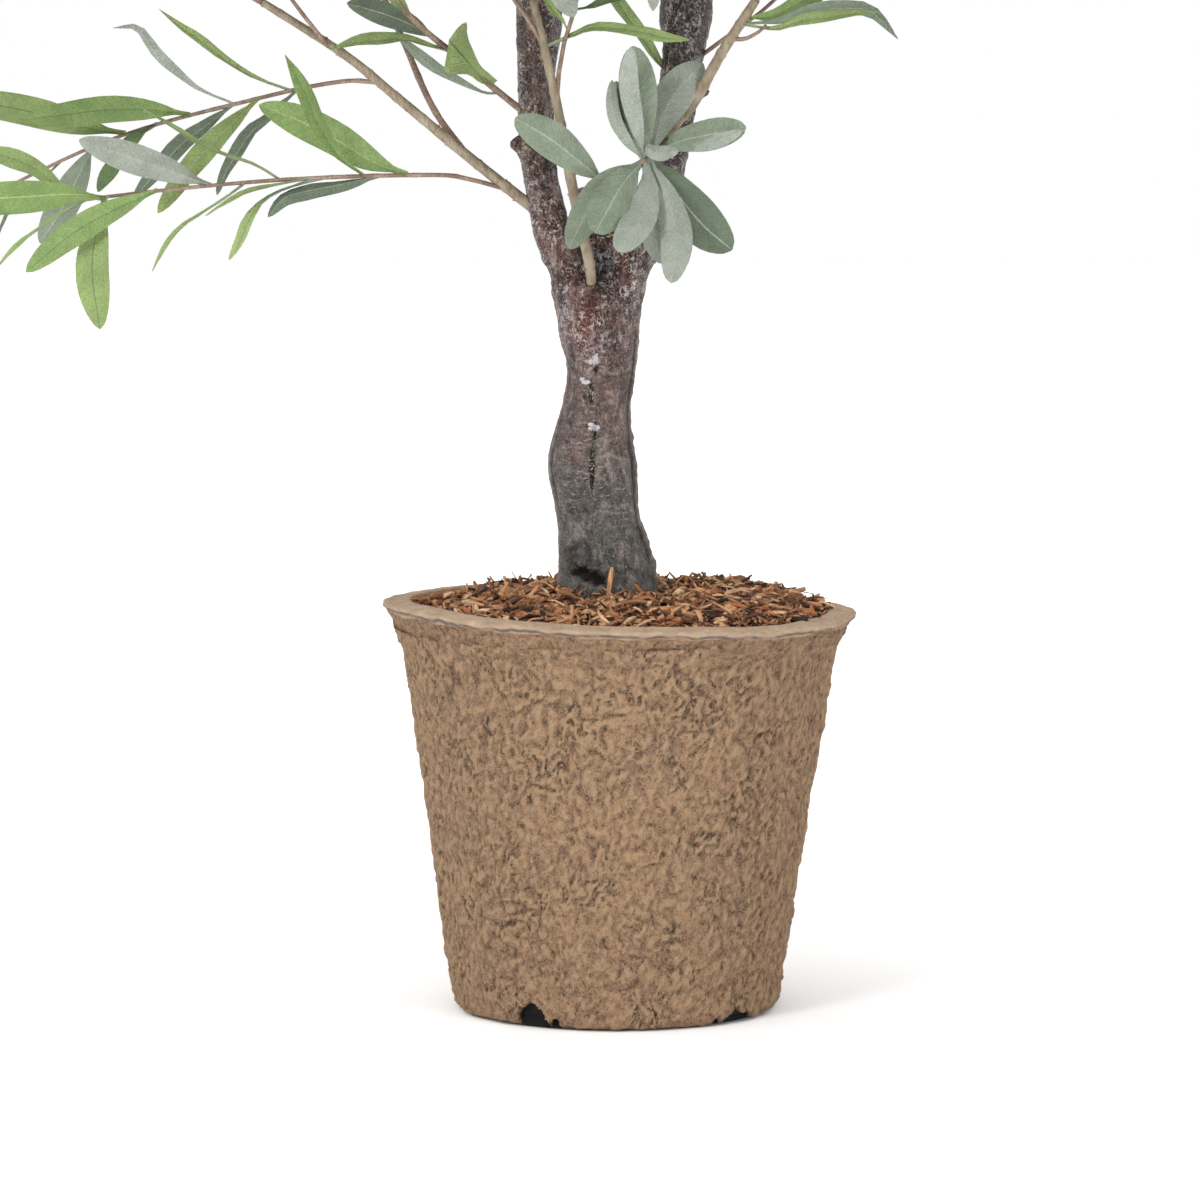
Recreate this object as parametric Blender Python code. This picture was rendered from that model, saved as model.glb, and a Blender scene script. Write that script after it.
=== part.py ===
"""Potted artificial olive tree: a moulded-pulp pot, its ballast and bark mulch, a forked trunk and leafy sprays.

Metres, +Z up. The origin is the centre of the pot's flat underside, and the tree's front faces -Y.
Every limb is a tube along a smooth path. Every spray of foliage is one stem with side twigs and leaves,
grown by a seeded rule inside its own space, and fused into one solid.
"""

import math
import random

import bmesh
import bpy
from mathutils import Vector
from mathutils.bvhtree import BVHTree
from mathutils.kdtree import KDTree

# ---------------------------------------------------------------- driving dimensions

TREE_HEIGHT = 1.50
CLEARANCE = 0.0003  # the gap kept between neighbouring solids
SEAT_GROWTH = 0.00035  # how far a carrier is grown before it trims what sits on it

POT_HEIGHT = 0.2400
POT_WALL = 0.0045
POT_FLOOR = 0.005
BASE_RADIUS = 0.0966
BODY_TAPER = 0.1464  # growth of the body's radius for each metre of height
BASE_CORNER = 0.006
RIM_RADIUS = 0.1400
RIM_INNER_RADIUS = 0.1235
RIM_DROP = 0.0018  # the flange's outer edge lies this much lower than its inner edge
DRAIN_COUNT = 4
DRAIN_WIDTH = 0.018
DRAIN_HEIGHT = 0.011
DRAIN_FIRST_DEG = -119.0  # direction of the first drain notch, from +X
ROUND_STEPS = 40

BALLAST_TOP = 0.205
MULCH_EDGE = 0.2310  # height of the mulch where it meets the wall
MULCH_CREST = 0.2485  # height of the mulch round the trunk

TRUNK_SIDES = 14
ARM_SIDES = 10
LIMB_SIDES = 10
STEM_SIDES = 6
SPRAY_STEM_SIDES = 3
TWIG_SIDES = 3

LEAF_LENGTH = 0.104
LEAF_WIDTH = 0.032
LEAF_WIDEST = 0.44  # where the leaf is widest, as a share of its length
LEAF_ROOT = 0.0006  # half the size of the root, which is sunk in the twig
LEAF_DROOP = 0.035  # how far the tip hangs under the blade's plane, as a share of its length
SPRAY_RADIUS = 0.0023
TWIG_RADIUS = 0.0020
TWIG_TIP_RADIUS = 0.0017
SPRAY_DETAIL = 0.62  # share of a fused spray's triangles that is kept
GOLDEN_TURN = math.radians(137.5)

# Trunk stations: height, sideways place of the centre, radius. The knee at 0.327 bulges to the left.
TRUNK_FOOT = BALLAST_TOP + CLEARANCE
TRUNK = (
    (TRUNK_FOOT, -0.0072, 0.0318),
    (0.2500, -0.0072, 0.0298),
    (0.2680, -0.0083, 0.0276),
    (0.2910, -0.0122, 0.0245),
    (0.3110, -0.0146, 0.0255),
    (0.3270, -0.0163, 0.0262),
    (0.3430, -0.0153, 0.0230),
    (0.3640, -0.0128, 0.0196),
    (0.3850, -0.0108, 0.0208),
    (0.4060, -0.0122, 0.0240),
    (0.4200, -0.0130, 0.0240),
    (0.4300, -0.0126, 0.0200),
    (0.4365, -0.0122, 0.0120),
)

# The two arms of the fork, fused to the trunk, and the limb that goes on from each: (x, y, z, radius).
# The first LIMB station is the arm's flat end.
ARM_LEFT = (
    (-0.0190, 0.0, 0.3900, 0.0130),
    (-0.0242, 0.0005, 0.4270, 0.0158),
    (-0.0290, 0.0010, 0.4420, 0.0134),
    (-0.0382, 0.0020, 0.4588, 0.0119),
)
ARM_RIGHT = (
    (-0.0060, 0.0, 0.3900, 0.0140),
    (-0.0012, -0.0005, 0.4270, 0.0156),
    (0.0045, -0.0010, 0.4430, 0.0143),
    (0.0156, -0.0020, 0.4637, 0.0128),
)
LIMB_LEFT = (
    (-0.0382, 0.0020, 0.4588, 0.0118),
    (-0.0441, 0.0060, 0.4810, 0.0106),
    (-0.0483, 0.0100, 0.5104, 0.0108),
    (-0.0494, 0.0120, 0.5516, 0.0112),
    (-0.0476, 0.0120, 0.5900, 0.0138),
    (-0.0500, 0.0140, 0.6400, 0.0110),
    (-0.0620, 0.0180, 0.7300, 0.0100),
    (-0.0860, 0.0100, 0.8300, 0.0084),
    (-0.1060, -0.0060, 0.9100, 0.0064),
    (-0.1200, -0.0200, 0.9700, 0.0046),
)
LIMB_RIGHT = (
    (0.0156, -0.0020, 0.4637, 0.0127),
    (0.0238, -0.0020, 0.4867, 0.0120),
    (0.0315, 0.0000, 0.5261, 0.0119),
    (0.0371, 0.0030, 0.5655, 0.0122),
    (0.0392, 0.0040, 0.5930, 0.0158),
    (0.0430, 0.0020, 0.6400, 0.0116),
    (0.0560, -0.0060, 0.7300, 0.0102),
    (0.0780, -0.0080, 0.8300, 0.0086),
    (0.1000, 0.0060, 0.9200, 0.0064),
    (0.1150, 0.0200, 0.9800, 0.0046),
)
PRUNED_STUB = ((-0.0470, 0.0080, 0.5020, 0.0085), (-0.0570, 0.0030, 0.5120, 0.0055), (-0.0625, 0.0, 0.5165, 0.0040))

# Boughs and bare stems: what carries each, its sides, then its stations from the carrier's axis outwards.
BOUGHS = {
    "leader": ("limb_left", LIMB_SIDES, (
        (-0.0480, 0.0130, 0.6020, 0.0120), (-0.0240, 0.0320, 0.6900, 0.0112), (-0.0060, 0.0300, 0.8200, 0.0098),
        (0.0050, 0.0150, 0.9800, 0.0078), (0.0000, 0.0000, 1.1200, 0.0044))),
    "bough_front": ("limb_right", LIMB_SIDES, (
        (0.0400, 0.0030, 0.6060, 0.0105), (0.0330, -0.0420, 0.6750, 0.0095), (0.0200, -0.0850, 0.7900, 0.0078),
        (0.0200, -0.1100, 0.9000, 0.0044))),
    "bough_back": ("leader", LIMB_SIDES, (
        (-0.0120, 0.0310, 0.7700, 0.0080), (0.0150, 0.0760, 0.8400, 0.0070), (0.0500, 0.1300, 0.9400, 0.0044))),
    "stem_left": ("limb_left", STEM_SIDES, (
        (-0.0430, 0.0050, 0.4740, 0.0036), (-0.0547, 0.0000, 0.4796, 0.0034), (-0.0882, -0.0040, 0.5063, 0.0031),
        (-0.1293, -0.0080, 0.5406, 0.0028), (-0.1614, -0.0120, 0.5671, 0.0027), (-0.2098, -0.0160, 0.5983, 0.0026))),
    "stem_centre": ("trunk", STEM_SIDES, (
        (-0.0150, -0.0020, 0.4150, 0.0032), (-0.0172, -0.0190, 0.4400, 0.0032), (-0.0205, -0.0225, 0.4580, 0.0031),
        (-0.0286, -0.0240, 0.4943, 0.0030), (-0.0380, -0.0250, 0.5442, 0.0028), (-0.0508, -0.0240, 0.5996, 0.0026))),
    "stem_right": ("limb_right", STEM_SIDES, (
        (0.0300, 0.0000, 0.5160, 0.0036), (0.0320, -0.0150, 0.5280, 0.0034), (0.0430, -0.0200, 0.5393, 0.0033),
        (0.0608, -0.0280, 0.5708, 0.0031), (0.0795, -0.0330, 0.5999, 0.0028))),
}

# Sprays of foliage. carrier: what the stem sits on. stem: its points. twigs: side twigs along the stem.
# pairs: leaf pairs on each side twig. stem_pairs: leaf pairs on the stem itself. first: where growth begins,
# as a share of the stem. sag: how far leaves hang. floor: the lowest height that a leaf may hang to.
LOW_TWIG = dict(twigs=0, pairs=0, stem_pairs=8, first=0.24, sag=0.55, floor=0.395)
ROSETTE = dict(twigs=0, pairs=0, stem_pairs=5, first=0.72, sag=0.0, floor=0.40)
FULL = dict(twigs=5, pairs=2, stem_pairs=2, first=0.30, sag=0.10, floor=0.612)
LOWER = dict(FULL, floor=0.565)
SPRAYS = {
    "spray_low_left_front": dict(LOW_TWIG, carrier="stem_left", stem=(
        (-0.0650, -0.0012, 0.4870), (-0.0882, -0.0070, 0.4938), (-0.1117, -0.0120, 0.4967),
        (-0.1991, -0.0320, 0.4948), (-0.3002, -0.0520, 0.4859), (-0.3952, -0.0660, 0.4721))),
    "spray_low_left_back": dict(LOW_TWIG, carrier="stem_left", stem=(
        (-0.1420, -0.0095, 0.5510), (-0.1649, 0.0040, 0.5509), (-0.2132, 0.0220, 0.5406), (-0.3043, 0.0500, 0.5145),
        (-0.4024, 0.0720, 0.4684))),
    "spray_left": dict(LOWER, carrier="stem_left", stem=(
        (-0.2098, -0.0160, 0.5983), (-0.3000, -0.0080, 0.6500), (-0.3950, 0.0000, 0.7050))),
    "spray_left_back": dict(LOWER, carrier="stem_left", stem=(
        (-0.0905, -0.0042, 0.5085), (-0.1120, 0.0150, 0.5380), (-0.1394, 0.0400, 0.5980), (-0.1900, 0.1000, 0.6900),
        (-0.2500, 0.1600, 0.7600))),
    "spray_left_front": dict(LOWER, carrier="limb_left", stem=(
        (-0.0490, 0.0120, 0.5270), (-0.0680, 0.0060, 0.5420), (-0.0960, -0.0050, 0.5660), (-0.1306, -0.0200, 0.5990),
        (-0.1850, -0.0700, 0.6800), (-0.2450, -0.1250, 0.7500))),
    "spray_rosette": dict(ROSETTE, carrier="limb_right", stem=(
        (0.0310, 0.0000, 0.5210), (0.0235, -0.0250, 0.5130), (0.0135, -0.0540, 0.5070))),
    "spray_centre": dict(LOWER, carrier="stem_centre", stem=(
        (-0.0508, -0.0240, 0.5996), (-0.0600, -0.0700, 0.7000), (-0.0700, -0.1350, 0.7900))),
    "spray_low_right": dict(LOWER, carrier="stem_right", stem=(
        (0.0795, -0.0330, 0.5999), (0.1450, -0.0700, 0.6900), (0.2150, -0.1100, 0.7500))),
    "spray_right": dict(FULL, carrier="limb_right", stem=(
        (0.0440, 0.0020, 0.6500), (0.1500, 0.0250, 0.7100), (0.2600, 0.0250, 0.7600), (0.3600, 0.0100, 0.7900))),
    "spray_right_back": dict(FULL, carrier="limb_right", stem=(
        (0.0490, -0.0020, 0.6850), (0.1200, 0.1000, 0.7500), (0.2100, 0.2100, 0.8200))),
    "spray_back": dict(FULL, carrier="leader", stem=(
        (-0.0220, 0.0320, 0.7000), (-0.0350, 0.1500, 0.7400), (-0.0550, 0.2900, 0.7900))),
    "spray_front": dict(FULL, carrier="bough_front", stem=(
        (0.0270, -0.0640, 0.7300), (0.0450, -0.1700, 0.7700), (0.0600, -0.3000, 0.8000))),
    "spray_front_right": dict(FULL, carrier="limb_right", stem=(
        (0.0740, -0.0080, 0.8100), (0.1500, -0.1000, 0.8800), (0.2300, -0.2000, 0.9400))),
    "spray_front_left": dict(FULL, carrier="limb_left", stem=(
        (-0.0700, 0.0160, 0.7700), (-0.1150, -0.1000, 0.8500), (-0.1700, -0.2300, 0.9100))),
    "spray_left_high": dict(FULL, carrier="limb_left", stem=(
        (-0.0900, 0.0070, 0.8450), (-0.2000, 0.0200, 0.9200), (-0.3200, 0.0200, 0.9900))),
    "spray_back_left": dict(FULL, carrier="limb_left", stem=(
        (-0.0760, 0.0140, 0.7900), (-0.1350, 0.1250, 0.8800), (-0.2050, 0.2350, 0.9500))),
    "spray_right_high": dict(FULL, carrier="limb_right", stem=(
        (0.0870, -0.0030, 0.8700), (0.1850, 0.0100, 0.9600), (0.3000, 0.0300, 1.0300))),
    "spray_back_high": dict(FULL, carrier="bough_back", stem=(
        (0.0500, 0.1300, 0.9400), (0.0720, 0.1900, 1.0300), (0.0900, 0.2450, 1.1100))),
    "spray_front_high": dict(FULL, carrier="bough_front", stem=(
        (0.0200, -0.1100, 0.9000), (0.0280, -0.1550, 1.0100), (0.0350, -0.2100, 1.1100))),
    "spray_mid_front_left": dict(FULL, carrier="leader", twigs=4, stem=(
        (0.0030, 0.0210, 0.9300), (-0.0950, -0.1050, 1.0300), (-0.1550, -0.1750, 1.1100))),
    "spray_mid_back_left": dict(FULL, carrier="leader", twigs=4, stem=(
        (0.0030, 0.0190, 0.9500), (-0.0850, 0.1200, 1.0500), (-0.1350, 0.1950, 1.1300))),
    "spray_mid_front_right": dict(FULL, carrier="leader", twigs=4, stem=(
        (0.0040, 0.0165, 0.9700), (0.1050, -0.0850, 1.0900), (0.1650, -0.1350, 1.1700))),
    "spray_mid_back_right": dict(FULL, carrier="leader", twigs=4, stem=(
        (0.0010, 0.0240, 0.9050), (0.1150, 0.1250, 0.9700), (0.2100, 0.1950, 1.0300))),
    "spray_left_top": dict(FULL, carrier="limb_left", stem=(
        (-0.1200, -0.0200, 0.9700), (-0.1600, -0.0450, 1.0900), (-0.2050, -0.0650, 1.2000))),
    "spray_right_top": dict(FULL, carrier="limb_right", stem=(
        (0.1150, 0.0200, 0.9800), (0.1500, 0.0450, 1.1000), (0.1850, 0.0650, 1.2100))),
    "spray_top_back": dict(FULL, carrier="leader", stem=(
        (0.0020, 0.0080, 1.0400), (-0.0500, 0.0700, 1.1600), (-0.0950, 0.1100, 1.2700))),
    "spray_top_front": dict(FULL, carrier="leader", stem=(
        (0.0010, 0.0040, 1.0800), (0.0480, -0.0560, 1.2000), (0.0850, -0.1050, 1.3100))),
    "spray_top": dict(FULL, carrier="leader", twigs=6, stem=(
        (0.0000, 0.0000, 1.1200), (0.0060, 0.0050, 1.2600), (0.0000, 0.0000, TREE_HEIGHT - LEAF_LENGTH))),
}
TWIG_REACH = 0.125  # length of the longest side twig
SPACE_RADIUS = 0.205  # no part of a spray lies further than this from its own stem
SPACE_MARGIN = 0.0040  # width of the empty band between two sprays

COLOURS = {
    "pot_pulp": (0.305, 0.205, 0.133),
    "ballast_cement": (0.42, 0.41, 0.39),
    "bark_mulch": (0.195, 0.115, 0.058),
    "trunk_bark": (0.150, 0.117, 0.098),
    "stem_plastic": (0.190, 0.150, 0.085),
    "leaf_fabric": (0.260, 0.345, 0.155),
}


# ---------------------------------------------------------------- small helpers

def clear_scene():
    for obj in list(bpy.data.objects):
        bpy.data.objects.remove(obj, do_unlink=True)


def material(name, roughness=0.8):
    found = bpy.data.materials.get(name)
    if found:
        return found
    made = bpy.data.materials.new(name)
    made.use_nodes = True
    shader = made.node_tree.nodes["Principled BSDF"]
    shader.inputs["Base Color"].default_value = (*COLOURS[name], 1.0)
    shader.inputs["Roughness"].default_value = roughness
    shader.inputs["Metallic"].default_value = 0.0
    made.diffuse_color = (*COLOURS[name], 1.0)
    return made


def new_object(name, verts, faces, look):
    mesh = bpy.data.meshes.new(name)
    mesh.from_pydata(verts, [], faces)
    mesh.validate()
    obj = bpy.data.objects.new(name, mesh)
    bpy.context.scene.collection.objects.link(obj)
    mesh.materials.append(material(look))
    return obj


def mark_cutter(obj):
    obj.hide_render = True
    obj.display_type = "WIRE"


def apply_modifiers(obj):
    graph = bpy.context.evaluated_depsgraph_get()
    mesh = bpy.data.meshes.new_from_object(obj.evaluated_get(graph))
    obj.modifiers.clear()
    obj.data = mesh


def boolean(obj, tool, operation):
    """Cut or join one tool object, apply the result and remove the tool."""
    mark_cutter(tool)
    step = obj.modifiers.new(operation.lower(), "BOOLEAN")
    step.operation = operation
    step.solver = "EXACT"
    step.object = tool
    apply_modifiers(obj)
    bpy.data.objects.remove(tool, do_unlink=True)


def fuse(obj, tools):
    """Join a whole list of objects to one by a single union on a collection, then remove them."""
    group = bpy.data.collections.new(obj.name + "_tools")
    bpy.context.scene.collection.children.link(group)
    for tool in tools:
        mark_cutter(tool)
        group.objects.link(tool)
        bpy.context.scene.collection.objects.unlink(tool)
    step = obj.modifiers.new("fuse", "BOOLEAN")
    step.operation = "UNION"
    step.solver = "EXACT"
    step.operand_type = "COLLECTION"
    step.collection = group
    apply_modifiers(obj)
    for tool in tools:
        bpy.data.objects.remove(tool, do_unlink=True)
    bpy.data.collections.remove(group)
    keep_largest_shell(obj)


def lighten(obj, share):
    """Collapse the smallest facets, which lie round the joints, until this share of the triangles is left."""
    step = obj.modifiers.new("lighten", "DECIMATE")
    step.decimate_type = "COLLAPSE"
    step.ratio = share
    apply_modifiers(obj)


def shells(bm):
    """The mesh's separate shells, each as a set of faces."""
    left = set(bm.faces)
    found = []
    while left:
        shell = set()
        stack = [left.pop()]
        while stack:
            face = stack.pop()
            shell.add(face)
            for edge in face.edges:
                for other in edge.link_faces:
                    if other in left:
                        left.remove(other)
                        stack.append(other)
        found.append(shell)
    return found


def shell_volume(shell):
    total = 0.0
    for face in shell:
        corners = [vert.co for vert in face.verts]
        for second, third in zip(corners[1:-1], corners[2:]):
            total += corners[0].dot(second.cross(third)) / 6.0
    return total


def keep_largest_shell(obj):
    """Fill any sealed hollow and drop any loose scrap that the union left."""
    bm = bmesh.new()
    bm.from_mesh(obj.data)
    found = shells(bm)
    if len(found) > 1:
        best = max(found, key=shell_volume)
        extra = [face for shell in found if shell is not best for face in shell]
        bmesh.ops.delete(bm, geom=extra, context="FACES")
        loose = [vert for vert in bm.verts if not vert.link_faces]
        bmesh.ops.delete(bm, geom=loose, context="VERTS")
    bm.to_mesh(obj.data)
    bm.free()


# ---------------------------------------------------------------- paths and tubes

def spline(stations, steps):
    """Catmull-Rom curve through the stations: steps short pieces between each two of them."""
    points = [Vector(station) for station in stations]
    ends = [points[0] * 2 - points[1]] + points + [points[-1] * 2 - points[-2]]
    out = []
    for i in range(1, len(ends) - 2):
        before, start, finish, after = ends[i - 1:i + 3]
        for k in range(steps):
            t = k / steps
            bend = (2 * before - 5 * start + 4 * finish - after) * t * t
            twist = (3 * start - before - 3 * finish + after) * t ** 3
            out.append((2 * start + (finish - before) * t + bend + twist) * 0.5)
    out.append(points[-1])
    return out


def directions(centres):
    """Unit direction of a path at each of its points."""
    last = len(centres) - 1
    return [(centres[min(i + 1, last)] - centres[max(i - 1, 0)]).normalized() for i in range(last + 1)]


def tube(name, centres, radii, sides, look, start_dir=None, end_dir=None):
    """A closed tube along the path, its rings carried along without twist, with flat ends."""
    heads = directions(centres)
    if start_dir:
        heads[0] = start_dir.normalized()
    if end_dir:
        heads[-1] = end_dir.normalized()
    side = heads[0].orthogonal().normalized()
    if abs(heads[0].x) < 0.9:
        side = heads[0].cross(Vector((0, 1, 0)).cross(heads[0])).normalized()
    verts = []
    for centre, head, radius in zip(centres, heads, radii):
        side = (side - head * side.dot(head)).normalized()
        other = head.cross(side)
        for k in range(sides):
            turn = 2 * math.pi * k / sides
            verts.append(centre + (side * math.cos(turn) + other * math.sin(turn)) * radius)
    faces = [tuple(reversed(range(sides)))]
    for i in range(len(centres) - 1):
        for k in range(sides):
            a = i * sides + k
            b = i * sides + (k + 1) % sides
            faces.append((a, b, b + sides, a + sides))
    top = (len(centres) - 1) * sides
    faces.append(tuple(range(top, top + sides)))
    return new_object(name, verts, faces, look)


def split_stations(stations, steps):
    """Smooth a list of (x, y, z, radius) stations into centres and radii."""
    smooth = spline(stations, steps)
    return [point.to_3d() for point in smooth], [point[3] for point in smooth]


class Limb:
    """A tapering tube along smooth (x, y, z, radius) stations, which other solids can be seated on."""

    def __init__(self, stations, sides, look, steps=2, start_dir=None, end_dir=None):
        self.sides = sides
        self.look = look
        self.centres, self.radii = split_stations(stations, steps)
        heads = directions(self.centres)
        self.start_dir = (start_dir or heads[0]).normalized()
        self.end_dir = (end_dir or heads[-1]).normalized()

    def build(self, name, growth=0.0):
        """The solid, or with growth a copy swollen on all sides, which trims or tests its neighbours."""
        centres = list(self.centres)
        centres[0] = centres[0] - self.start_dir * growth
        centres[-1] = centres[-1] + self.end_dir * growth
        radii = [radius + growth for radius in self.radii]
        return tube(name, centres, radii, self.sides, self.look, self.start_dir, self.end_dir)


CARRIERS = {}  # name of the trunk, a limb or a stem: the Limb tubes that it is made of


def seat(obj, carrier):
    """Trim an object to a snug saddle on its carrier, a hair's breadth clear of it."""
    for part in CARRIERS[carrier]:
        boolean(obj, part.build("grown_" + carrier, SEAT_GROWTH), "DIFFERENCE")
    keep_largest_shell(obj)


# ---------------------------------------------------------------- pot, ballast and mulch

WALL_KNEE = (RIM_INNER_RADIUS + POT_WALL - BASE_RADIUS) / BODY_TAPER  # the inside runs straight up above this


def body_radius(height):
    return BASE_RADIUS + BODY_TAPER * height


def wall_inside(height):
    """Inner radius of the pot's wall at a height."""
    return min(body_radius(height) - POT_WALL, RIM_INNER_RADIUS)


def lathe(name, profile, look):
    """Turn an (r, z) profile about Z. It starts and ends on the axis, and runs outwards first, then down."""
    verts = []
    rows = []
    for r, z in profile:
        if r < 1e-6:
            rows.append([len(verts)] * ROUND_STEPS)
            verts.append((0.0, 0.0, z))
            continue
        rows.append(list(range(len(verts), len(verts) + ROUND_STEPS)))
        for k in range(ROUND_STEPS):
            turn = 2 * math.pi * k / ROUND_STEPS
            verts.append((r * math.cos(turn), r * math.sin(turn), z))
    faces = []
    for upper, lower in zip(rows, rows[1:]):
        for k in range(ROUND_STEPS):
            nxt = (k + 1) % ROUND_STEPS
            corners = [upper[k], lower[k], lower[nxt], upper[nxt]]
            faces.append(tuple(v for i, v in enumerate(corners) if v != corners[i - 1]))
    return new_object(name, verts, faces, look)


def build_pot():
    """One loop in section: over the floor, up the inside, over the flange, down the outside and under the base."""
    top = POT_HEIGHT
    profile = [
        (0.0, POT_FLOOR),
        (wall_inside(POT_FLOOR), POT_FLOOR),
        (RIM_INNER_RADIUS, WALL_KNEE),
        (RIM_INNER_RADIUS, top - 0.0020),
        (RIM_INNER_RADIUS + 0.0030, top),
        (RIM_RADIUS - 0.0025, top - RIM_DROP + 0.0006),
        (RIM_RADIUS, top - RIM_DROP - 0.0012),
        (0.1384, top - 0.0058),
        (0.1345, top - 0.0098),
        (0.1312, top - 0.0160),
        (body_radius(0.210), 0.2100),
        (body_radius(0.010), 0.0100),
        (BASE_RADIUS - 0.0004, 0.0034),
        (BASE_RADIUS - BASE_CORNER, 0.0),
        (0.0, 0.0),
    ]
    pot = lathe("pot", profile, "pot_pulp")
    for k in range(DRAIN_COUNT):
        boolean(pot, drain_cutter(math.radians(DRAIN_FIRST_DEG + k * 360.0 / DRAIN_COUNT)), "DIFFERENCE")
    return pot


def drain_cutter(turn):
    """An arch-topped block that opens a drain notch through the wall's foot."""
    half = DRAIN_WIDTH / 2
    spring = DRAIN_HEIGHT * 0.45
    outline = [(-half, -0.01), (half, -0.01), (half, spring)]
    for k in range(1, 4):
        angle = math.pi * k / 4
        outline.append((half * math.cos(angle), spring + (DRAIN_HEIGHT - spring) * math.sin(angle)))
    outline.append((-half, spring))
    count = len(outline)
    verts = []
    for reach in (BASE_RADIUS - 0.0085, BASE_RADIUS + 0.02):
        for across, up in outline:
            x = reach * math.cos(turn) - across * math.sin(turn)
            y = reach * math.sin(turn) + across * math.cos(turn)
            verts.append((x, y, up))
    faces = [tuple(reversed(range(count))), tuple(range(count, 2 * count))]
    for k in range(count):
        nxt = (k + 1) % count
        faces.append((k, nxt, nxt + count, k + count))
    return new_object("drain_cutter", verts, faces, "pot_pulp")


def build_ballast():
    foot = POT_FLOOR + CLEARANCE
    profile = [
        (0.0, BALLAST_TOP),
        (wall_inside(BALLAST_TOP) - CLEARANCE, BALLAST_TOP),
        (wall_inside(foot) - CLEARANCE, foot),
        (0.0, foot),
    ]
    return lathe("ballast", profile, "ballast_cement")


def build_mulch():
    """A low dome of bark over the ballast, with a hole that the trunk stands in."""
    foot = BALLAST_TOP + CLEARANCE
    edge = RIM_INNER_RADIUS - CLEARANCE
    rise = MULCH_CREST - MULCH_EDGE
    profile = [(0.0, MULCH_CREST), (0.036, MULCH_CREST)]
    for share in (0.35, 0.7):
        profile.append((0.036 + (edge - 0.036) * share, MULCH_CREST - rise * share ** 1.5))
    profile += [(edge, MULCH_EDGE), (edge, WALL_KNEE), (wall_inside(foot) - CLEARANCE, foot), (0.0, foot)]
    mulch = lathe("mulch", profile, "bark_mulch")
    for part in CARRIERS["trunk"][:1]:
        boolean(mulch, part.build("grown_trunk", SEAT_GROWTH), "DIFFERENCE")
    return mulch


# ---------------------------------------------------------------- trunk, limbs and bare stems

def fork_direction(arm, limb_stations):
    """The direction square to the flat joint between an arm of the fork and its limb."""
    return (Vector(limb_stations[1][:3]) - Vector(arm[-2][:3])).normalized()


def build_trunk():
    stations = [(x, 0.0, z, radius) for z, x, radius in TRUNK]
    up = Vector((0, 0, 1))
    CARRIERS["trunk"] = [
        Limb(stations, TRUNK_SIDES, "trunk_bark", steps=1, start_dir=up, end_dir=up),
        Limb(ARM_LEFT, ARM_SIDES, "trunk_bark", end_dir=fork_direction(ARM_LEFT, LIMB_LEFT)),
        Limb(ARM_RIGHT, ARM_SIDES, "trunk_bark", end_dir=fork_direction(ARM_RIGHT, LIMB_RIGHT)),
    ]
    trunk, *arms = [part.build("trunk") for part in CARRIERS["trunk"]]
    fuse(trunk, arms)
    trunk.name = "trunk"


def build_limb(name, arm, stations):
    """A limb on the flat end of its arm: its first ring lies one clearance past the joint."""
    square = fork_direction(arm, stations)
    x, y, z, radius = stations[0]
    first = Vector((x, y, z)) + square * CLEARANCE
    CARRIERS[name] = [Limb([(*first, radius), *stations[1:]], LIMB_SIDES, "trunk_bark", start_dir=square)]
    return CARRIERS[name][0].build(name)


def build_bough(name, carrier, sides, stations):
    look = "trunk_bark" if sides == LIMB_SIDES else "stem_plastic"
    CARRIERS[name] = [Limb(stations, sides, look)]
    bough = CARRIERS[name][0].build(name)
    seat(bough, carrier)
    return bough


# ---------------------------------------------------------------- sprays of foliage

class Spray:
    """One mass of foliage: its stem, and the space that it keeps to."""

    def __init__(self, name, carrier, stem, twigs, pairs, stem_pairs, first, sag, floor):
        self.name = name
        self.carrier = carrier
        self.twigs = twigs
        self.pairs = pairs
        self.stem_pairs = stem_pairs
        self.first = first
        self.sag = sag
        self.floor = floor
        self.rng = random.Random("growth of " + name)
        points = [Vector(point) for point in stem]
        tip = CARRIERS[carrier][0].centres[-1]
        if (points[0] - tip).length < 0.001:
            # The stem goes on from its carrier's tip: it starts inside it, along the same line.
            ahead = CARRIERS[carrier][0].end_dir
            points[:1] = [tip - ahead * 0.005, tip + ahead * 0.005]
        self.path = spline(points, 3)
        self.samples = self.resample(0.008)

    def at(self, share):
        """Point and direction of the stem at a share of its length."""
        lengths = [(b - a).length for a, b in zip(self.path, self.path[1:])]
        left = share * sum(lengths)
        for length, a, b in zip(lengths, self.path, self.path[1:]):
            if left <= length:
                return a.lerp(b, left / length), (b - a).normalized()
            left -= length
        return self.path[-1].copy(), (self.path[-1] - self.path[-2]).normalized()

    def resample(self, spacing):
        total = sum((b - a).length for a, b in zip(self.path, self.path[1:]))
        count = max(2, int(total / spacing))
        start = 0.6 * self.first
        return [self.at(start + (1 - start) * k / count)[0] for k in range(count + 1)]


def tree_of(points):
    tree = KDTree(len(points))
    for i, point in enumerate(points):
        tree.insert(point, i)
    tree.balance()
    return tree


def bvh_of(obj):
    verts = [vert.co for vert in obj.data.vertices]
    return BVHTree.FromPolygons(verts, [tuple(face.vertices) for face in obj.data.polygons])


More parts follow.
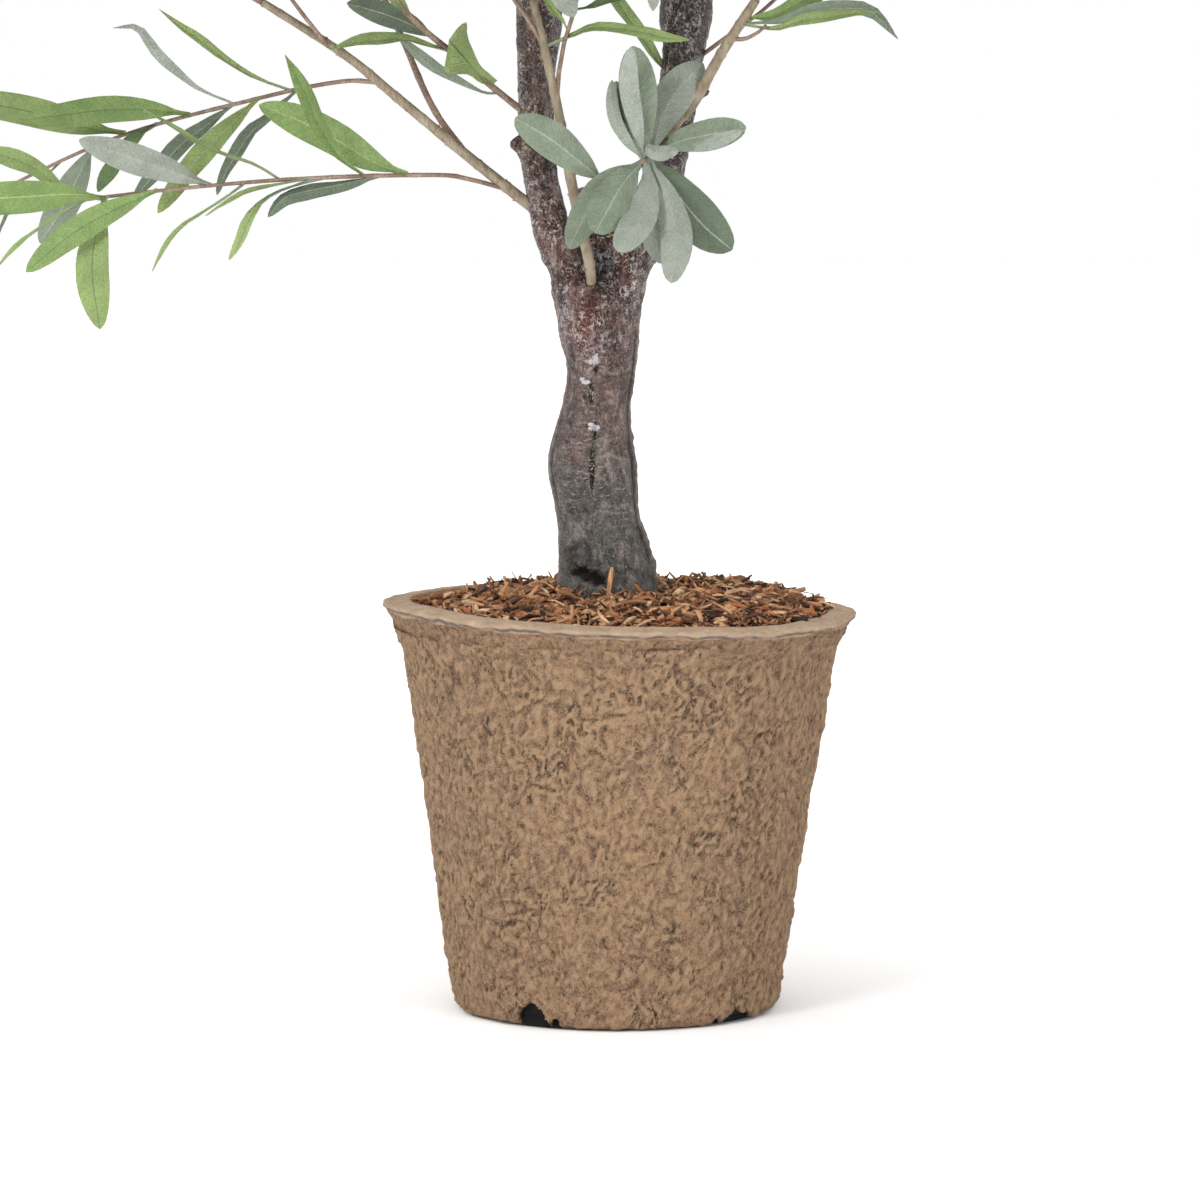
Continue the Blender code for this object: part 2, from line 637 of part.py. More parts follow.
class Growth:
    """Grows one spray's twigs and leaves, and skips whatever would leave its space or touch a limb."""

    def __init__(self, spray, others, obstacles):
        self.spray = spray
        self.rng = spray.rng
        self.own = tree_of(spray.samples)
        self.others = tree_of([point for other in others for point in other.samples])
        self.obstacles = obstacles
        self.pieces = []

    def inside(self, point):
        near = self.own.find(point)[2]
        far = self.others.find(point)[2]
        return point.z > self.spray.floor and near < SPACE_RADIUS and near + SPACE_MARGIN < far

    def clear(self, verts, faces, outer):
        """Whether a new piece keeps to the space and misses every obstacle."""
        if not all(self.inside(point) for point in outer):
            return False
        shape = BVHTree.FromPolygons(verts, faces)
        return not any(shape.overlap(obstacle) for obstacle in self.obstacles)

    def leaf(self, root, head, facing, length):
        """A blade with a keel: a small sunk root, two shoulders and a drooping tip, in 8 faces."""
        side = facing.cross(head).normalized()
        up = head.cross(side).normalized()
        half = side * (LEAF_WIDTH / 2 * length / LEAF_LENGTH)
        waist = root + head * (length * LEAF_WIDEST)
        tip = root + head * length - up * (LEAF_DROOP * length)
        verts = [
            root + up * LEAF_ROOT,
            root + side * LEAF_ROOT - up * LEAF_ROOT,
            root - side * LEAF_ROOT - up * LEAF_ROOT,
            waist + half,
            waist - half,
            tip,
        ]
        faces = [(3, 4, 5), (0, 4, 3), (0, 3, 1), (0, 2, 4), (1, 3, 5), (2, 5, 4), (1, 5, 2), (0, 1, 2)]
        if not self.clear(verts, faces, [waist, waist + half, waist - half, tip]):
            return False
        self.pieces.append(new_object("leaf", verts, faces, "leaf_fabric"))
        return True

    def try_leaf(self, root, head, facing):
        """A leaf in the wanted direction, or failing that a little turned or shorter."""
        length = LEAF_LENGTH * self.rng.uniform(0.88, 1.0)
        head = (head + Vector((0, 0, -self.spray.sag))).normalized()
        turn = Vector([self.rng.uniform(-1, 1) for _ in range(3)])
        for bend, share in ((0.0, 1.0), (0.35, 0.95), (-0.35, 0.95), (0.6, 0.85), (-0.6, 0.85)):
            if self.leaf(root, (head + turn * bend).normalized(), facing, length * share):
                return

    def pair(self, root, head, roll, spread):
        """Two leaves on opposite sides of a twig."""
        side = head.orthogonal().normalized()
        side = side * math.cos(roll) + head.cross(side) * math.sin(roll)
        for sign in (1, -1):
            out = head * math.cos(spread) + side * (sign * math.sin(spread))
            facing = Vector((0, 0, 1)) + head * 0.3 + Vector([self.rng.uniform(-0.35, 0.35) for _ in range(3)])
            self.try_leaf(root, out, facing)

    def end_leaf(self, root, head):
        facing = Vector((0, 0, 1)) + Vector([self.rng.uniform(-0.3, 0.3) for _ in range(3)])
        if abs(head.z) > 0.85:
            facing = Vector((0, -1, 0.2))
        self.try_leaf(root - head * 0.003, head, facing)

    def twig(self, root, head, length, pairs):
        """A side twig with leaf pairs, each turned a quarter from the one before, and a leaf at its end."""
        tip = root + head * length
        if not self.inside(tip) or not self.inside(root.lerp(tip, 0.5)):
            return False
        made = tube("twig", [root, tip], [TWIG_RADIUS, TWIG_TIP_RADIUS], TWIG_SIDES, "stem_plastic")
        shape = bvh_of(made)
        if any(shape.overlap(obstacle) for obstacle in self.obstacles):
            bpy.data.objects.remove(made, do_unlink=True)
            return False
        self.pieces.append(made)
        roll = self.rng.uniform(0, math.pi)
        for k in range(pairs):
            place = root.lerp(tip, 0.50 + 0.36 * k / max(1, pairs - 1))
            self.pair(place, head, roll + k * math.pi / 2, math.radians(self.rng.uniform(42, 58)))
        self.end_leaf(tip, head)
        return True

    def grow(self):
        spray = self.spray
        roll = self.rng.uniform(0, 2 * math.pi)
        for k in range(spray.twigs):
            share = spray.first + (0.90 - spray.first) * k / max(1, spray.twigs - 1)
            root, head = spray.at(share)
            side = head.orthogonal().normalized()
            angle = roll + k * GOLDEN_TURN
            side = side * math.cos(angle) + head.cross(side) * math.sin(angle)
            spread = math.radians(self.rng.uniform(46, 64))
            out = head * math.cos(spread) + side * math.sin(spread)
            length = TWIG_REACH * (1.0 - 0.45 * share) * self.rng.uniform(0.85, 1.1)
            for shorter in (1.0, 0.7, 0.45):
                if self.twig(root, out, length * shorter, spray.pairs):
                    break
        for k in range(spray.stem_pairs):
            share = spray.first + (0.97 - spray.first) * (k + 1) / spray.stem_pairs
            if spray.twigs:
                share = 0.80 + 0.17 * (k + 1) / spray.stem_pairs
            root, head = spray.at(share)
            self.pair(root, head, roll + k * math.pi / 2, math.radians(self.rng.uniform(40, 60)))
        root, head = spray.at(1.0)
        self.end_leaf(root, head)
        return self.pieces


def stem_tube(spray, name, growth=0.0):
    count = len(spray.path)
    radii = [SPRAY_RADIUS + (TWIG_TIP_RADIUS - SPRAY_RADIUS) * i / (count - 1) + growth for i in range(count)]
    return tube(name, spray.path, radii, SPRAY_STEM_SIDES, "leaf_fabric")


def build_sprays():
    sprays = [Spray(name, **row) for name, row in SPRAYS.items()]
    limb_trees = []
    for parts in CARRIERS.values():
        for part in parts:
            swollen = part.build("swollen", 0.0012)
            limb_trees.append(bvh_of(swollen))
            bpy.data.objects.remove(swollen, do_unlink=True)
    stem_trees = {}
    for spray in sprays:
        swollen = stem_tube(spray, "swollen", 0.0015)
        stem_trees[spray.name] = bvh_of(swollen)
        bpy.data.objects.remove(swollen, do_unlink=True)
    done = []
    total = 0
    for spray in sprays:
        others = [other for other in sprays if other is not spray]
        obstacles = limb_trees + [stem_trees[other.name] for other in others] + done
        stem = stem_tube(spray, spray.name)
        seat(stem, spray.carrier)
        pieces = Growth(spray, others, obstacles).grow()
        leaves = sum(piece.name.startswith("leaf") for piece in pieces)
        total += leaves
        fuse(stem, pieces)
        lighten(stem, SPRAY_DETAIL)
        stem.name = spray.name
        done.append(bvh_of(stem))
        print(f"{spray.name}: {leaves} leaves, {len(stem.data.polygons)} faces")
    print("leaves in all:", total)


# ---------------------------------------------------------------- the whole tree

def main():
    clear_scene()
    build_trunk()
    build_pot()
    build_ballast()
    build_mulch()
    limb_left = build_limb("limb_left", ARM_LEFT, LIMB_LEFT)
    stub = Limb(PRUNED_STUB, STEM_SIDES, "trunk_bark", steps=1).build("stub")
    fuse(limb_left, [stub])
    build_limb("limb_right", ARM_RIGHT, LIMB_RIGHT)
    for name, (carrier, sides, stations) in BOUGHS.items():
        build_bough(name, carrier, sides, stations)
    build_sprays()


main()
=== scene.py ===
# %% [markdown]
# # A potted artificial olive tree
# The tree is made for a shop floor: a moulded-pulp pot, weighted and topped with shredded bark, a cast
# trunk with painted bark, and sprays of cloth leaves on wired twigs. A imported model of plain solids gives
# every piece its place. Each step below builds one real piece over it, as a surface worked out with numpy.

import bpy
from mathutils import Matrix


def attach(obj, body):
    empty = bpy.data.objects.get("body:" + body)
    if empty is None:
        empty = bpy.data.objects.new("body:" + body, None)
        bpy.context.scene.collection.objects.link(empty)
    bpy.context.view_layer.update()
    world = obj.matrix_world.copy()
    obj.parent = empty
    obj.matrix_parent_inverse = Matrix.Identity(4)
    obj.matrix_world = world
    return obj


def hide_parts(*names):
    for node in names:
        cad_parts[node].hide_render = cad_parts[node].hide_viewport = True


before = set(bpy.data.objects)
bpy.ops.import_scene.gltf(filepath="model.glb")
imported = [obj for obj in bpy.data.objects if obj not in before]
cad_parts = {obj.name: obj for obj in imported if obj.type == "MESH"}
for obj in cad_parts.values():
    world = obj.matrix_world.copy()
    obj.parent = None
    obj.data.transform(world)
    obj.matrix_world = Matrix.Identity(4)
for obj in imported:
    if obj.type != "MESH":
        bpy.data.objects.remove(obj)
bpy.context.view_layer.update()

# %% Tools used throughout
import math
import random

import bpy
import numpy as np
from mathutils import Vector
from mathutils.kdtree import KDTree

MM = 0.001


# %% [markdown]
# ## Camera, light and floor
# The tree is looked at from far away through a long lens, a little above the rim of the pot, so upright lines
# stay upright. A near-white floor under a wide light from overhead shows no more than a soft shadow. The world
# gives the camera a white backdrop, and gives the object a weaker, even fill.

# %% Camera
LENS_MM = 206.9
SENSOR_MM = 36.0
CAMERA_PLACE = Vector((-0.0116, -4.0744, 0.7006))
CAMERA_AIM = Vector((-0.0116, 0.0, 0.2436))

camera_data = bpy.data.cameras.new("camera")
camera_data.lens = LENS_MM
camera_data.sensor_width = SENSOR_MM
camera = bpy.data.objects.new("camera", camera_data)
bpy.context.scene.collection.objects.link(camera)
camera.location = CAMERA_PLACE
sight = CAMERA_AIM - CAMERA_PLACE
camera.rotation_euler = sight.to_track_quat("-Z", "Y").to_euler()
bpy.context.scene.camera = camera
bpy.context.scene.view_settings.view_transform = "Standard"
print("camera looks down by", round(math.degrees(math.asin(-sight.z / sight.length)), 1), "degrees")

# %% Light
FILL = 0.36  # brightness of the even light from all round

world = bpy.data.worlds.new("studio")
bpy.context.scene.world = world
world.use_nodes = True
sky_nodes = world.node_tree.nodes
sky_links = world.node_tree.links
backdrop = sky_nodes["Background"]
backdrop.inputs["Color"].default_value = (1, 1, 1, 1)
ray_kind = sky_nodes.new("ShaderNodeLightPath")
brightness = sky_nodes.new("ShaderNodeMapRange")
brightness.inputs["To Min"].default_value = FILL
brightness.inputs["To Max"].default_value = 1.0
sky_links.new(ray_kind.outputs["Is Camera Ray"], brightness.inputs["Value"])
sky_links.new(brightness.outputs["Result"], backdrop.inputs["Strength"])


def lamp(name, kind, place, aim, power, size):
    """A lamp turned to face a point. size is a box's side in metres, or a sun's spread in radians."""
    data = bpy.data.lights.new(name, kind)
    data.energy = power
    if kind == "SUN":
        data.angle = size
    else:
        data.size = size
    made = bpy.data.objects.new(name, data)
    bpy.context.scene.collection.objects.link(made)
    made.location = place
    made.rotation_euler = (Vector(aim) - Vector(place)).to_track_quat("-Z", "Y").to_euler()
    print("lamp:", name)


lamp("overhead", "SUN", (-0.5, -0.1, 4), (0, 0, 0.3), 3.36, math.radians(100))
lamp("front_left", "AREA", (-2.4, -3.4, 2), (0, 0, 0.5), 85, 1.2)
lamp("front_right", "AREA", (2.8, -3.2, 1.4), (0, 0, 0.5), 56, 1.4)

# %% [markdown]
# ## Making meshes from arrays
# A surface is a grid of points: one parameter runs along it, the other across. The points are computed as
# whole arrays, and only the finished arrays go into Blender. Random bumps come from value noise: a cube of
# random numbers, read between its corners with a smooth blend, so that any point in space has a value.

# %% Mesh builder
def unit(vectors):
    """Vectors scaled to length one."""
    return vectors / np.maximum(np.linalg.norm(vectors, axis=-1, keepdims=True), 1e-12)


def enclosed_volume(verts, quads, tris):
    """Sum of the signed volumes between the origin and each triangle: negative if faces point inwards."""
    corners = np.concatenate([quads[:, [0, 1, 2]], quads[:, [0, 2, 3]], tris]) if len(quads) else tris
    a, b, c = (verts[corners[:, k]] for k in range(3))
    return float(np.einsum("ij,ij->i", a, np.cross(b, c)).sum() / 6)


def build_mesh(name, verts, quads, tris=None, looks=(), slots=None, marks=None, chart=None):
    """Put arrays into a mesh. slots gives each face's material, marks holds named values for each vertex,
    and chart the (u, v) place of each vertex. Faces are turned outwards by the sign of the volume."""
    tris = np.zeros((0, 3), np.int64) if tris is None else tris
    if enclosed_volume(verts, quads, tris) < 0:
        quads, tris = quads[:, ::-1], tris[:, ::-1]
    mesh = bpy.data.meshes.new(name)
    corners = np.concatenate([quads.ravel(), tris.ravel()])
    sizes = np.concatenate([np.full(len(quads), 4), np.full(len(tris), 3)])
    mesh.vertices.add(len(verts))
    mesh.vertices.foreach_set("co", np.ascontiguousarray(verts, np.float32).ravel())
    mesh.loops.add(len(corners))
    mesh.loops.foreach_set("vertex_index", corners.astype(np.int32))
    mesh.polygons.add(len(sizes))
    mesh.polygons.foreach_set("loop_start", np.concatenate([[0], np.cumsum(sizes)[:-1]]).astype(np.int32))
    if slots is not None:
        mesh.polygons.foreach_set("material_index", slots.astype(np.int32))
    mesh.update(calc_edges=True)
    mesh.shade_smooth()
    for mark, values in (marks or {}).items():
        mesh.attributes.new(mark, "FLOAT", "POINT").data.foreach_set("value", values.astype(np.float32).ravel())
    if chart is not None:
        mesh.uv_layers.new(name="chart").data.foreach_set("uv", chart[corners].astype(np.float32).ravel())
    obj = bpy.data.objects.new(name, mesh)
    bpy.context.scene.collection.objects.link(obj)
    for look in looks:
        mesh.materials.append(look)
    print(f"{name}: {2 * len(quads) + len(tris)} triangles")
    return obj


def settle(obj, slot, *nodes):
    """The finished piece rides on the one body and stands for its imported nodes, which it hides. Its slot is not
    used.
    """
    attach(obj, "root")
    if nodes:
        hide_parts(*nodes)


# %% Value noise
LATTICE_SIZE = 64
LATTICE = np.random.default_rng(5).uniform(-1.0, 1.0, (LATTICE_SIZE,) * 3).astype(np.float32)


def value_noise(points, cell):
    """Random lattice numbers blended between the eight corners of each cell, with the curve 3t2 - 2t3."""
    place = points / cell
    corner = np.floor(place).astype(np.int64)
    blend = place - corner
    blend = blend * blend * (3 - 2 * blend)
    total = 0.0
    for dx in (0, 1):
        for dy in (0, 1):
            for dz in (0, 1):
                step = np.array((dx, dy, dz))
                share = np.where(step, blend, 1 - blend).prod(axis=-1)
                x, y, z = np.moveaxis((corner + step) % LATTICE_SIZE, -1, 0)
                total = total + share * LATTICE[x, y, z]
    return total


OBLIQUE = np.linalg.qr(np.array(((0.8, 0.5, -0.3), (-0.4, 0.9, 0.3), (0.5, -0.2, 0.8))))[0]


def rough_noise(points, cell, octaves=3, stretch=(1, 1, 1), shift=0.0):
    """Value noise plus finer copies at half the cell and half the height, divided by the sum of heights. Each
    copy is turned once more by an oblique rotation, so that no lattice direction shows."""
    total, weights = 0.0, 0.0
    moved = points / np.array(stretch) + shift * np.array((1.0, 2.3, 3.1))
    for k in range(octaves):
        height = 0.5 ** k
        moved = (moved + 1.37) @ OBLIQUE
        total = total + height * value_noise(moved, cell * height)
        weights += height
    return total / weights


def smooth_step(low, high, values):
    """0 below low, 1 above high, and the curve 3t2 - 2t3 between."""
    t = np.clip((values - low) / (high - low), 0.0, 1.0)
    return t * t * (3 - 2 * t)


def bell(distance, width):
    """A bell curve: 1 at no distance, falling to about a third at the width."""
    return np.exp(-(distance / width) ** 2)


# %% Turned surfaces
def turned(rows):
    """Close a stack of rings, shaped (rows, columns, 3), with a point at each end. Every ring is a row of the
    grid, columns wrap round, and the end points are the means of the first and last rings."""
    count, columns = rows.shape[:2]
    verts = np.concatenate([rows.reshape(-1, 3), rows[:1].mean(axis=1), rows[-1:].mean(axis=1)])
    ring = np.arange(columns)
    after = (ring + 1) % columns
    low = (np.arange(count - 1) * columns)[:, None]
    quads = np.stack([low + ring, low + after, low + columns + after, low + columns + ring], -1).reshape(-1, 4)
    first = np.full(columns, count * columns)
    start = np.stack([first, after, ring], -1)
    end = np.stack([first + 1, (count - 1) * columns + ring, (count - 1) * columns + after], -1)
    return verts, quads, np.concatenate([start, end])


def with_ends(values):
    """Values for each vertex of a turned surface: the grid's own, then the means at the two end points."""
    return np.concatenate([values.ravel(), [values[0].mean(), values[-1].mean()]])


# %% [markdown]
# ## Finishes as expressions
# A material is a small sum: a base colour, moved by masks made of noise and of marks stored on the mesh. The
# class below wraps one socket, so that a mask is written as arithmetic and each operator adds a Math node.

# %% Shader expressions
def from_screen(red, green, blue):
    """A colour given as 0 to 255 on a screen, as the linear numbers that a shader uses."""
    shares = (value / 255 for value in (red, green, blue))
    return tuple(s / 12.92 if s <= 0.04045 else ((s + 0.055) / 1.055) ** 2.4 for s in shares)


class Value:
    """One output socket of a material. Arithmetic with it adds Math nodes."""

    def __init__(self, finish, socket):
        self.finish = finish
        self.socket = socket

    def math(self, operation, first, second):
        return self.finish.node("ShaderNodeMath", {"operation": operation}, {0: first, 1: second})

    def __add__(self, other):
        return self.math("ADD", self, other)

    def __sub__(self, other):
        return self.math("SUBTRACT", self, other)

    def __mul__(self, other):
        return self.math("MULTIPLY", self, other)

    def __truediv__(self, other):
        return self.math("DIVIDE", self, other)

    def __pow__(self, other):
        return self.math("POWER", self, other)

    def __rsub__(self, other):
        return self.math("SUBTRACT", other, self)

    def __abs__(self):
        return self.math("ABSOLUTE", self, 0.0)

    __radd__ = __add__
    __rmul__ = __mul__

    def between(self, low, high):
        """0 at low, 1 at high, straight between and held beyond."""
        sockets = {"Value": self, "From Min": low, "From Max": high}
        return self.finish.node("ShaderNodeMapRange", {"clamp": True}, sockets)

# %% A finish and its helpers
class Finish:
    """A Principled material with helpers that add nodes and link them."""

    def __init__(self, name, roughness=0.8):
        self.material = bpy.data.materials.new(name)
        self.material.use_nodes = True
        self.tree = self.material.node_tree
        self.shader = self.tree.nodes["Principled BSDF"]
        self.shader.inputs["Roughness"].default_value = roughness

    def node(self, kind, settings=None, sockets=None, out=0):
        """Add a node: its settings first, then its sockets' values or links. Returns one output."""
        made = self.tree.nodes.new(kind)
        for key, value in (settings or {}).items():
            if key == "stops":
                self.fill_ramp(made.color_ramp, value)
            else:
                setattr(made, key, value)
        for key, value in (sockets or {}).items():
            self.connect(value, made.inputs[key])
        return Value(self, made.outputs[out])

    @staticmethod
    def fill_ramp(ramp, stops):
        while len(ramp.elements) < len(stops):
            ramp.elements.new(1.0)
        for element, (place, colour) in zip(ramp.elements, stops):
            element.position = place
            element.color = (*from_screen(*colour), 1.0)

    def connect(self, value, socket):
        if isinstance(value, Value):
            self.tree.links.new(value.socket, socket)
        elif isinstance(value, tuple) and len(value) == 3 and socket.type == "RGBA":
            socket.default_value = (*value, 1.0)
        else:
            socket.default_value = value

    def coords(self, stretch=(1, 1, 1)):
        """Object coordinates in metres, multiplied along each axis."""
        place = self.node("ShaderNodeTexCoord", out="Object")
        return self.node("ShaderNodeMapping", {}, {"Vector": place, "Scale": stretch})

    def mark(self, name):
        return self.node("ShaderNodeAttribute", {"attribute_name": name}, out="Fac")

    def noise(self, cell, detail=3.0, roughness=0.55, distortion=0.0, stretch=(1, 1, 1)):
        """Noise whose largest bumps are about a cell wide, in metres."""
        sockets = {"Vector": self.coords(stretch), "Scale": 1 / cell, "Detail": detail}
        sockets.update({"Roughness": roughness, "Distortion": distortion})
        return self.node("ShaderNodeTexNoise", {}, sockets)

    def torn_edges(self, cell, wander, width):
        """Edges of torn flakes: the borders of a Voronoi pattern whose place is moved by noise. Returns a value
        for each flake and a mask that is 1 on the parts of the borders that show."""
        wander_by = self.node("ShaderNodeTexNoise", {}, {"Vector": self.coords(), "Scale": 0.7 / cell}, "Color")
        centred = self.node("ShaderNodeVectorMath", {"operation": "SUBTRACT"}, {0: wander_by, 1: (0.5, 0.5, 0.5)})
        moved = self.node("ShaderNodeVectorMath", {"operation": "SCALE"}, {0: centred, "Scale": 2 * wander})
        place = self.coords((1, 1, 0.6))
        place = self.node("ShaderNodeVectorMath", {"operation": "ADD"}, {0: place, 1: moved})
        kind = {"feature": "DISTANCE_TO_EDGE"}
        border = self.node("ShaderNodeTexVoronoi", kind, {"Vector": place, "Scale": 1 / cell}, "Distance")
        flake = self.node("ShaderNodeTexVoronoi", {}, {"Vector": place, "Scale": 1 / cell}, "Distance")
        shows = self.noise(1.3 * cell, 2.0).between(0.46, 0.6)
        return flake, border.between(width, 0.0) * shows

    def mix(self, mask, first, second):
        """Colour that goes from first to second as the mask goes from 0 to 1."""
        return self.node("ShaderNodeMix", {"data_type": "RGBA"}, {0: mask, 6: first, 7: second}, 2)

    def coats(self, colour, *layers):
        """Coats laid over a colour one after the other: each is a mask, and a colour as on a screen."""
        for mask, coat in layers:
            colour = self.mix(mask, colour, from_screen(*coat))
        return colour

    def bump(self, height, distance, strength=1.0):
        sockets = {"Height": height, "Distance": distance, "Strength": strength}
        return self.node("ShaderNodeBump", {}, sockets)

    def apply(self, colour=None, roughness=None, normal=None):
        for name, value in (("Base Color", colour), ("Roughness", roughness), ("Normal", normal)):
            if value is not None:
                self.connect(value, self.shader.inputs[name])
        return self.material


# %% Floor
FLOOR_SIZE = 14.0
FLOOR_GREYS = (0.96, 0.96, 0.96), (0.98, 0.98, 0.98)

floor_finish = Finish("floor_paper", roughness=0.9)
floor_grain = floor_finish.noise(0.4, 2.0)
floor_tone = floor_finish.mix(floor_grain, *FLOOR_GREYS)
floor_corners = FLOOR_SIZE / 2 * np.array(((-1, -1, 0), (1, -1, 0), (1, 1, 0), (-1, 1, 0)))
floor = build_mesh("floor", floor_corners, np.array([[0, 1, 2, 3]]), looks=[floor_finish.apply(floor_tone)])

# %% [markdown]
# ## The pulp pot
# Paper pulp is sucked onto a wire mould and dried, which leaves a lumpy wall of matted fibre with torn flakes
# and dents, drain notches at its foot, and a smoother flange on top. A lathe profile gives the size. The
# lumps are added along the profile's own direction, because a bump map alone would leave the outline smooth.

# %% Profile of the wall
POT_HEIGHT = 0.24
POT_WALL = 0.0045  # thickness of the pulp
POT_FLOOR = 0.005
NOTCH_ROOM = 0.022  # the inside stays clear of the drain notches up to this height
BASE_RADIUS = 0.0966
BODY_TAPER = 0.1464
BASE_CORNER = 0.0042
POT_COLUMNS = 600
BODY_TOP = 0.229
BODY_ROWS = 146
FLARE_FOOT = 0.208
FLARE_REACH = 0.0038  # how far the wall stands out of its taper at its top


def body_radius(height):
    """Outer radius of the pot at a height: a straight taper, with a flare near the top."""
    flare = np.clip((height - FLARE_FOOT) / (BODY_TOP - FLARE_FOOT), 0.0, 1.0)
    return BASE_RADIUS + BODY_TAPER * height + FLARE_REACH * flare ** 2


def profile_rows(profile, columns):
    """Turn (r, z) points about Z into rings, and give each ring's outward direction from its neighbours."""
    points = np.array(profile, float)
    slope = np.gradient(points, axis=0)
    outward = unit(np.stack([slope[:, 1], -slope[:, 0]], -1))
    turn = 2 * math.pi * np.arange(columns) / columns
    flat = np.stack([np.cos(turn), np.sin(turn), np.zeros(columns)], -1)
    upright = np.array((0, 0, 1))
    rows = points[:, None, :1] * flat + points[:, None, 1:] * upright
    away = outward[:, None, :1] * flat + outward[:, None, 1:] * upright
    return rows, away, turn


BASE_LIFT = 0.0012  # the edge of the foot stands this far off the floor
BASE_ROWS = 7
CORNER_ROWS = 5
MIDDLE_RADIUS = 0.004  # the smallest ring at the middle of the base

corner_turns = np.radians(np.linspace(-80, -10, CORNER_ROWS))
body_profile = [(r, BASE_LIFT) for r in np.linspace(MIDDLE_RADIUS, BASE_RADIUS - BASE_CORNER, BASE_ROWS)]
body_profile += [(BASE_RADIUS - BASE_CORNER * (1 - math.cos(t)), BASE_CORNER * (1 + math.sin(t)) + BASE_LIFT)
                 for t in corner_turns]
body_profile += [(body_radius(z), z) for z in np.linspace(BASE_CORNER + BASE_LIFT + 0.001, BODY_TOP, BODY_ROWS)]
outside_count = len(body_profile)
body_profile += [(body_radius(BODY_TOP) - 0.002, BODY_TOP), (body_radius(BODY_TOP) - POT_WALL, BODY_TOP),
                 (body_radius(NOTCH_ROOM) - POT_WALL, NOTCH_ROOM), (BASE_RADIUS - 0.013, NOTCH_ROOM),
                 (MIDDLE_RADIUS, POT_FLOOR)]
body_rows, body_away, pot_turn = profile_rows(body_profile, POT_COLUMNS)
print("pot wall:", body_rows.shape[0], "rows of", POT_COLUMNS)

# %% Lumps, flakes and notches
LUMP_DEPTH = 2.1 * MM
CREASE_DEPTH = 2.7 * MM
FLAKE_DEPTH = 1.8 * MM
GRIT_DEPTH = 1.3 * MM
NOTCH_DEPTH = 7.0 * MM
FOOT_LEAN = 2.1 * MM  # the foot has dried a little to the left of the rim
NOTCHES = ((-121, 11.0, 15.0), (-41, 13.0, 7.0), (57, 11.0, 13.0), (147, 11.0, 14.0),
           (-112, 3.2, 6.0), (-52, 3.0, 4.0), (66, 3.2, 5.0), (156, 3.2, 5.0))  # degrees, half width and height in mm


def pulp_relief(points):
    """Height of the matted fibre and its torn edges. Lumps are wide noise. Creases are where a warped noise
    changes sign, so its size |n| has a sharp valley there. A flake is a slow rise of noise that falls back at
    once, so its edge is a lip. Grit is fine noise. Returns height, lips and lumps."""
    lumps = rough_noise(points, 0.018, 3, (1.0, 1.0, 1.4))
    swirl = np.stack([rough_noise(points, 0.016, 2, shift=s) for s in (3.0, 7.0, 11.0)], -1)
    creases = np.abs(rough_noise(points + 0.006 * swirl, 0.0088, 4, (1, 1, 1.5), shift=17.0))
    steps = 3.0 * rough_noise(points + 0.008 * swirl, 0.015, 4, (1, 1, 1.5), shift=5.0)
    rise = steps - np.floor(steps)
    flakes = np.minimum(rise / 0.84, (1 - rise) / 0.16)
    present = smooth_step(-0.05, 0.3, rough_noise(points, 0.02, 2, shift=13.0))
    grit = rough_noise(points, 0.0042, 3, (1.0, 1.0, 1.3), shift=9.0)
    height = (LUMP_DEPTH * lumps + CREASE_DEPTH * (creases - 0.25) + FLAKE_DEPTH * present * (flakes - 0.5)
              + GRIT_DEPTH * grit)
    return height, present * bell(rise - 0.97, 0.05), lumps


def hollows(rows):
    """How far each point of a grid lies under the mean of its neighbours, in millimetres. Four rounds of
    averaging take in everything within four rows and columns."""
    spread = rows
    for _ in range(4):
        spread = (spread + np.roll(spread, 1, 0) + np.roll(spread, -1, 0) + np.roll(spread, 1, 1)
                  + np.roll(spread, -1, 1)) / 5
    return (spread - rows) / MM


def notch_mask(points):
    """1 inside a drain notch: an arch round each notch's direction, with its outline torn by noise."""
    turn = np.arctan2(points[..., 1], points[..., 0])
    torn = rough_noise(points, 0.006, 2, shift=2.0)
    mask = np.zeros(turn.shape)
    for degrees, half, tall in NOTCHES:
        apart = (turn - math.radians(degrees) + math.pi) % (2 * math.pi) - math.pi
        across = np.abs(apart) * BASE_RADIUS / (half * MM)
        arch = (1 - across ** 4) * tall * MM + torn * 3.0 * MM
        mask = np.maximum(mask, smooth_step(0.0, 1.2 * MM, arch - points[..., 2]) * (across < 1.1))
    return mask


relief, lips, lumps = pulp_relief(body_rows)
steady = np.ones(len(body_rows))  # the share of the relief that each row carries
steady[:BASE_ROWS] = 0.0
steady[outside_count:] = 0.0
steady[BASE_ROWS:BASE_ROWS + CORNER_ROWS] = (0.3, 0.5, 0.7, 0.9, 1.0)
notch = notch_mask(body_rows) * (np.arange(len(body_rows)) < outside_count)[:, None]
push = relief * steady[:, None] * (1 - notch) - NOTCH_DEPTH * notch * (steady > 0)[:, None]
body_points = body_rows + body_away * push[..., None]
body_points[..., 0] -= FOOT_LEAN * smooth_step(0.2, 0.02, body_rows[..., 2])
body_points[..., 2] = np.maximum(body_points[..., 2], 0.0)
print("pulp relief from", round(relief.min() / MM, 1), "to", round(relief.max() / MM, 1), "mm")

# %% Pulp finish
PULP_TAN = (200, 152, 116)
PULP_DENT = (150, 112, 93)
# fibre colour, also used as painted highlight on raised fibres, crests and what stands out of the hollows
PULP_FIBRE_HIGHLIGHT = (228, 190, 148)
# painted shade under lips and torn edges and in low fibres
PULP_SHADE = (60, 42, 32)
# painted shade in the hollows
PULP_HOLLOW_SHADE = (84, 60, 45)
NOTCH_SHADE_BLACK = (0.004, 0.003, 0.003)  # painted shade in the drain notches, already as linear numbers
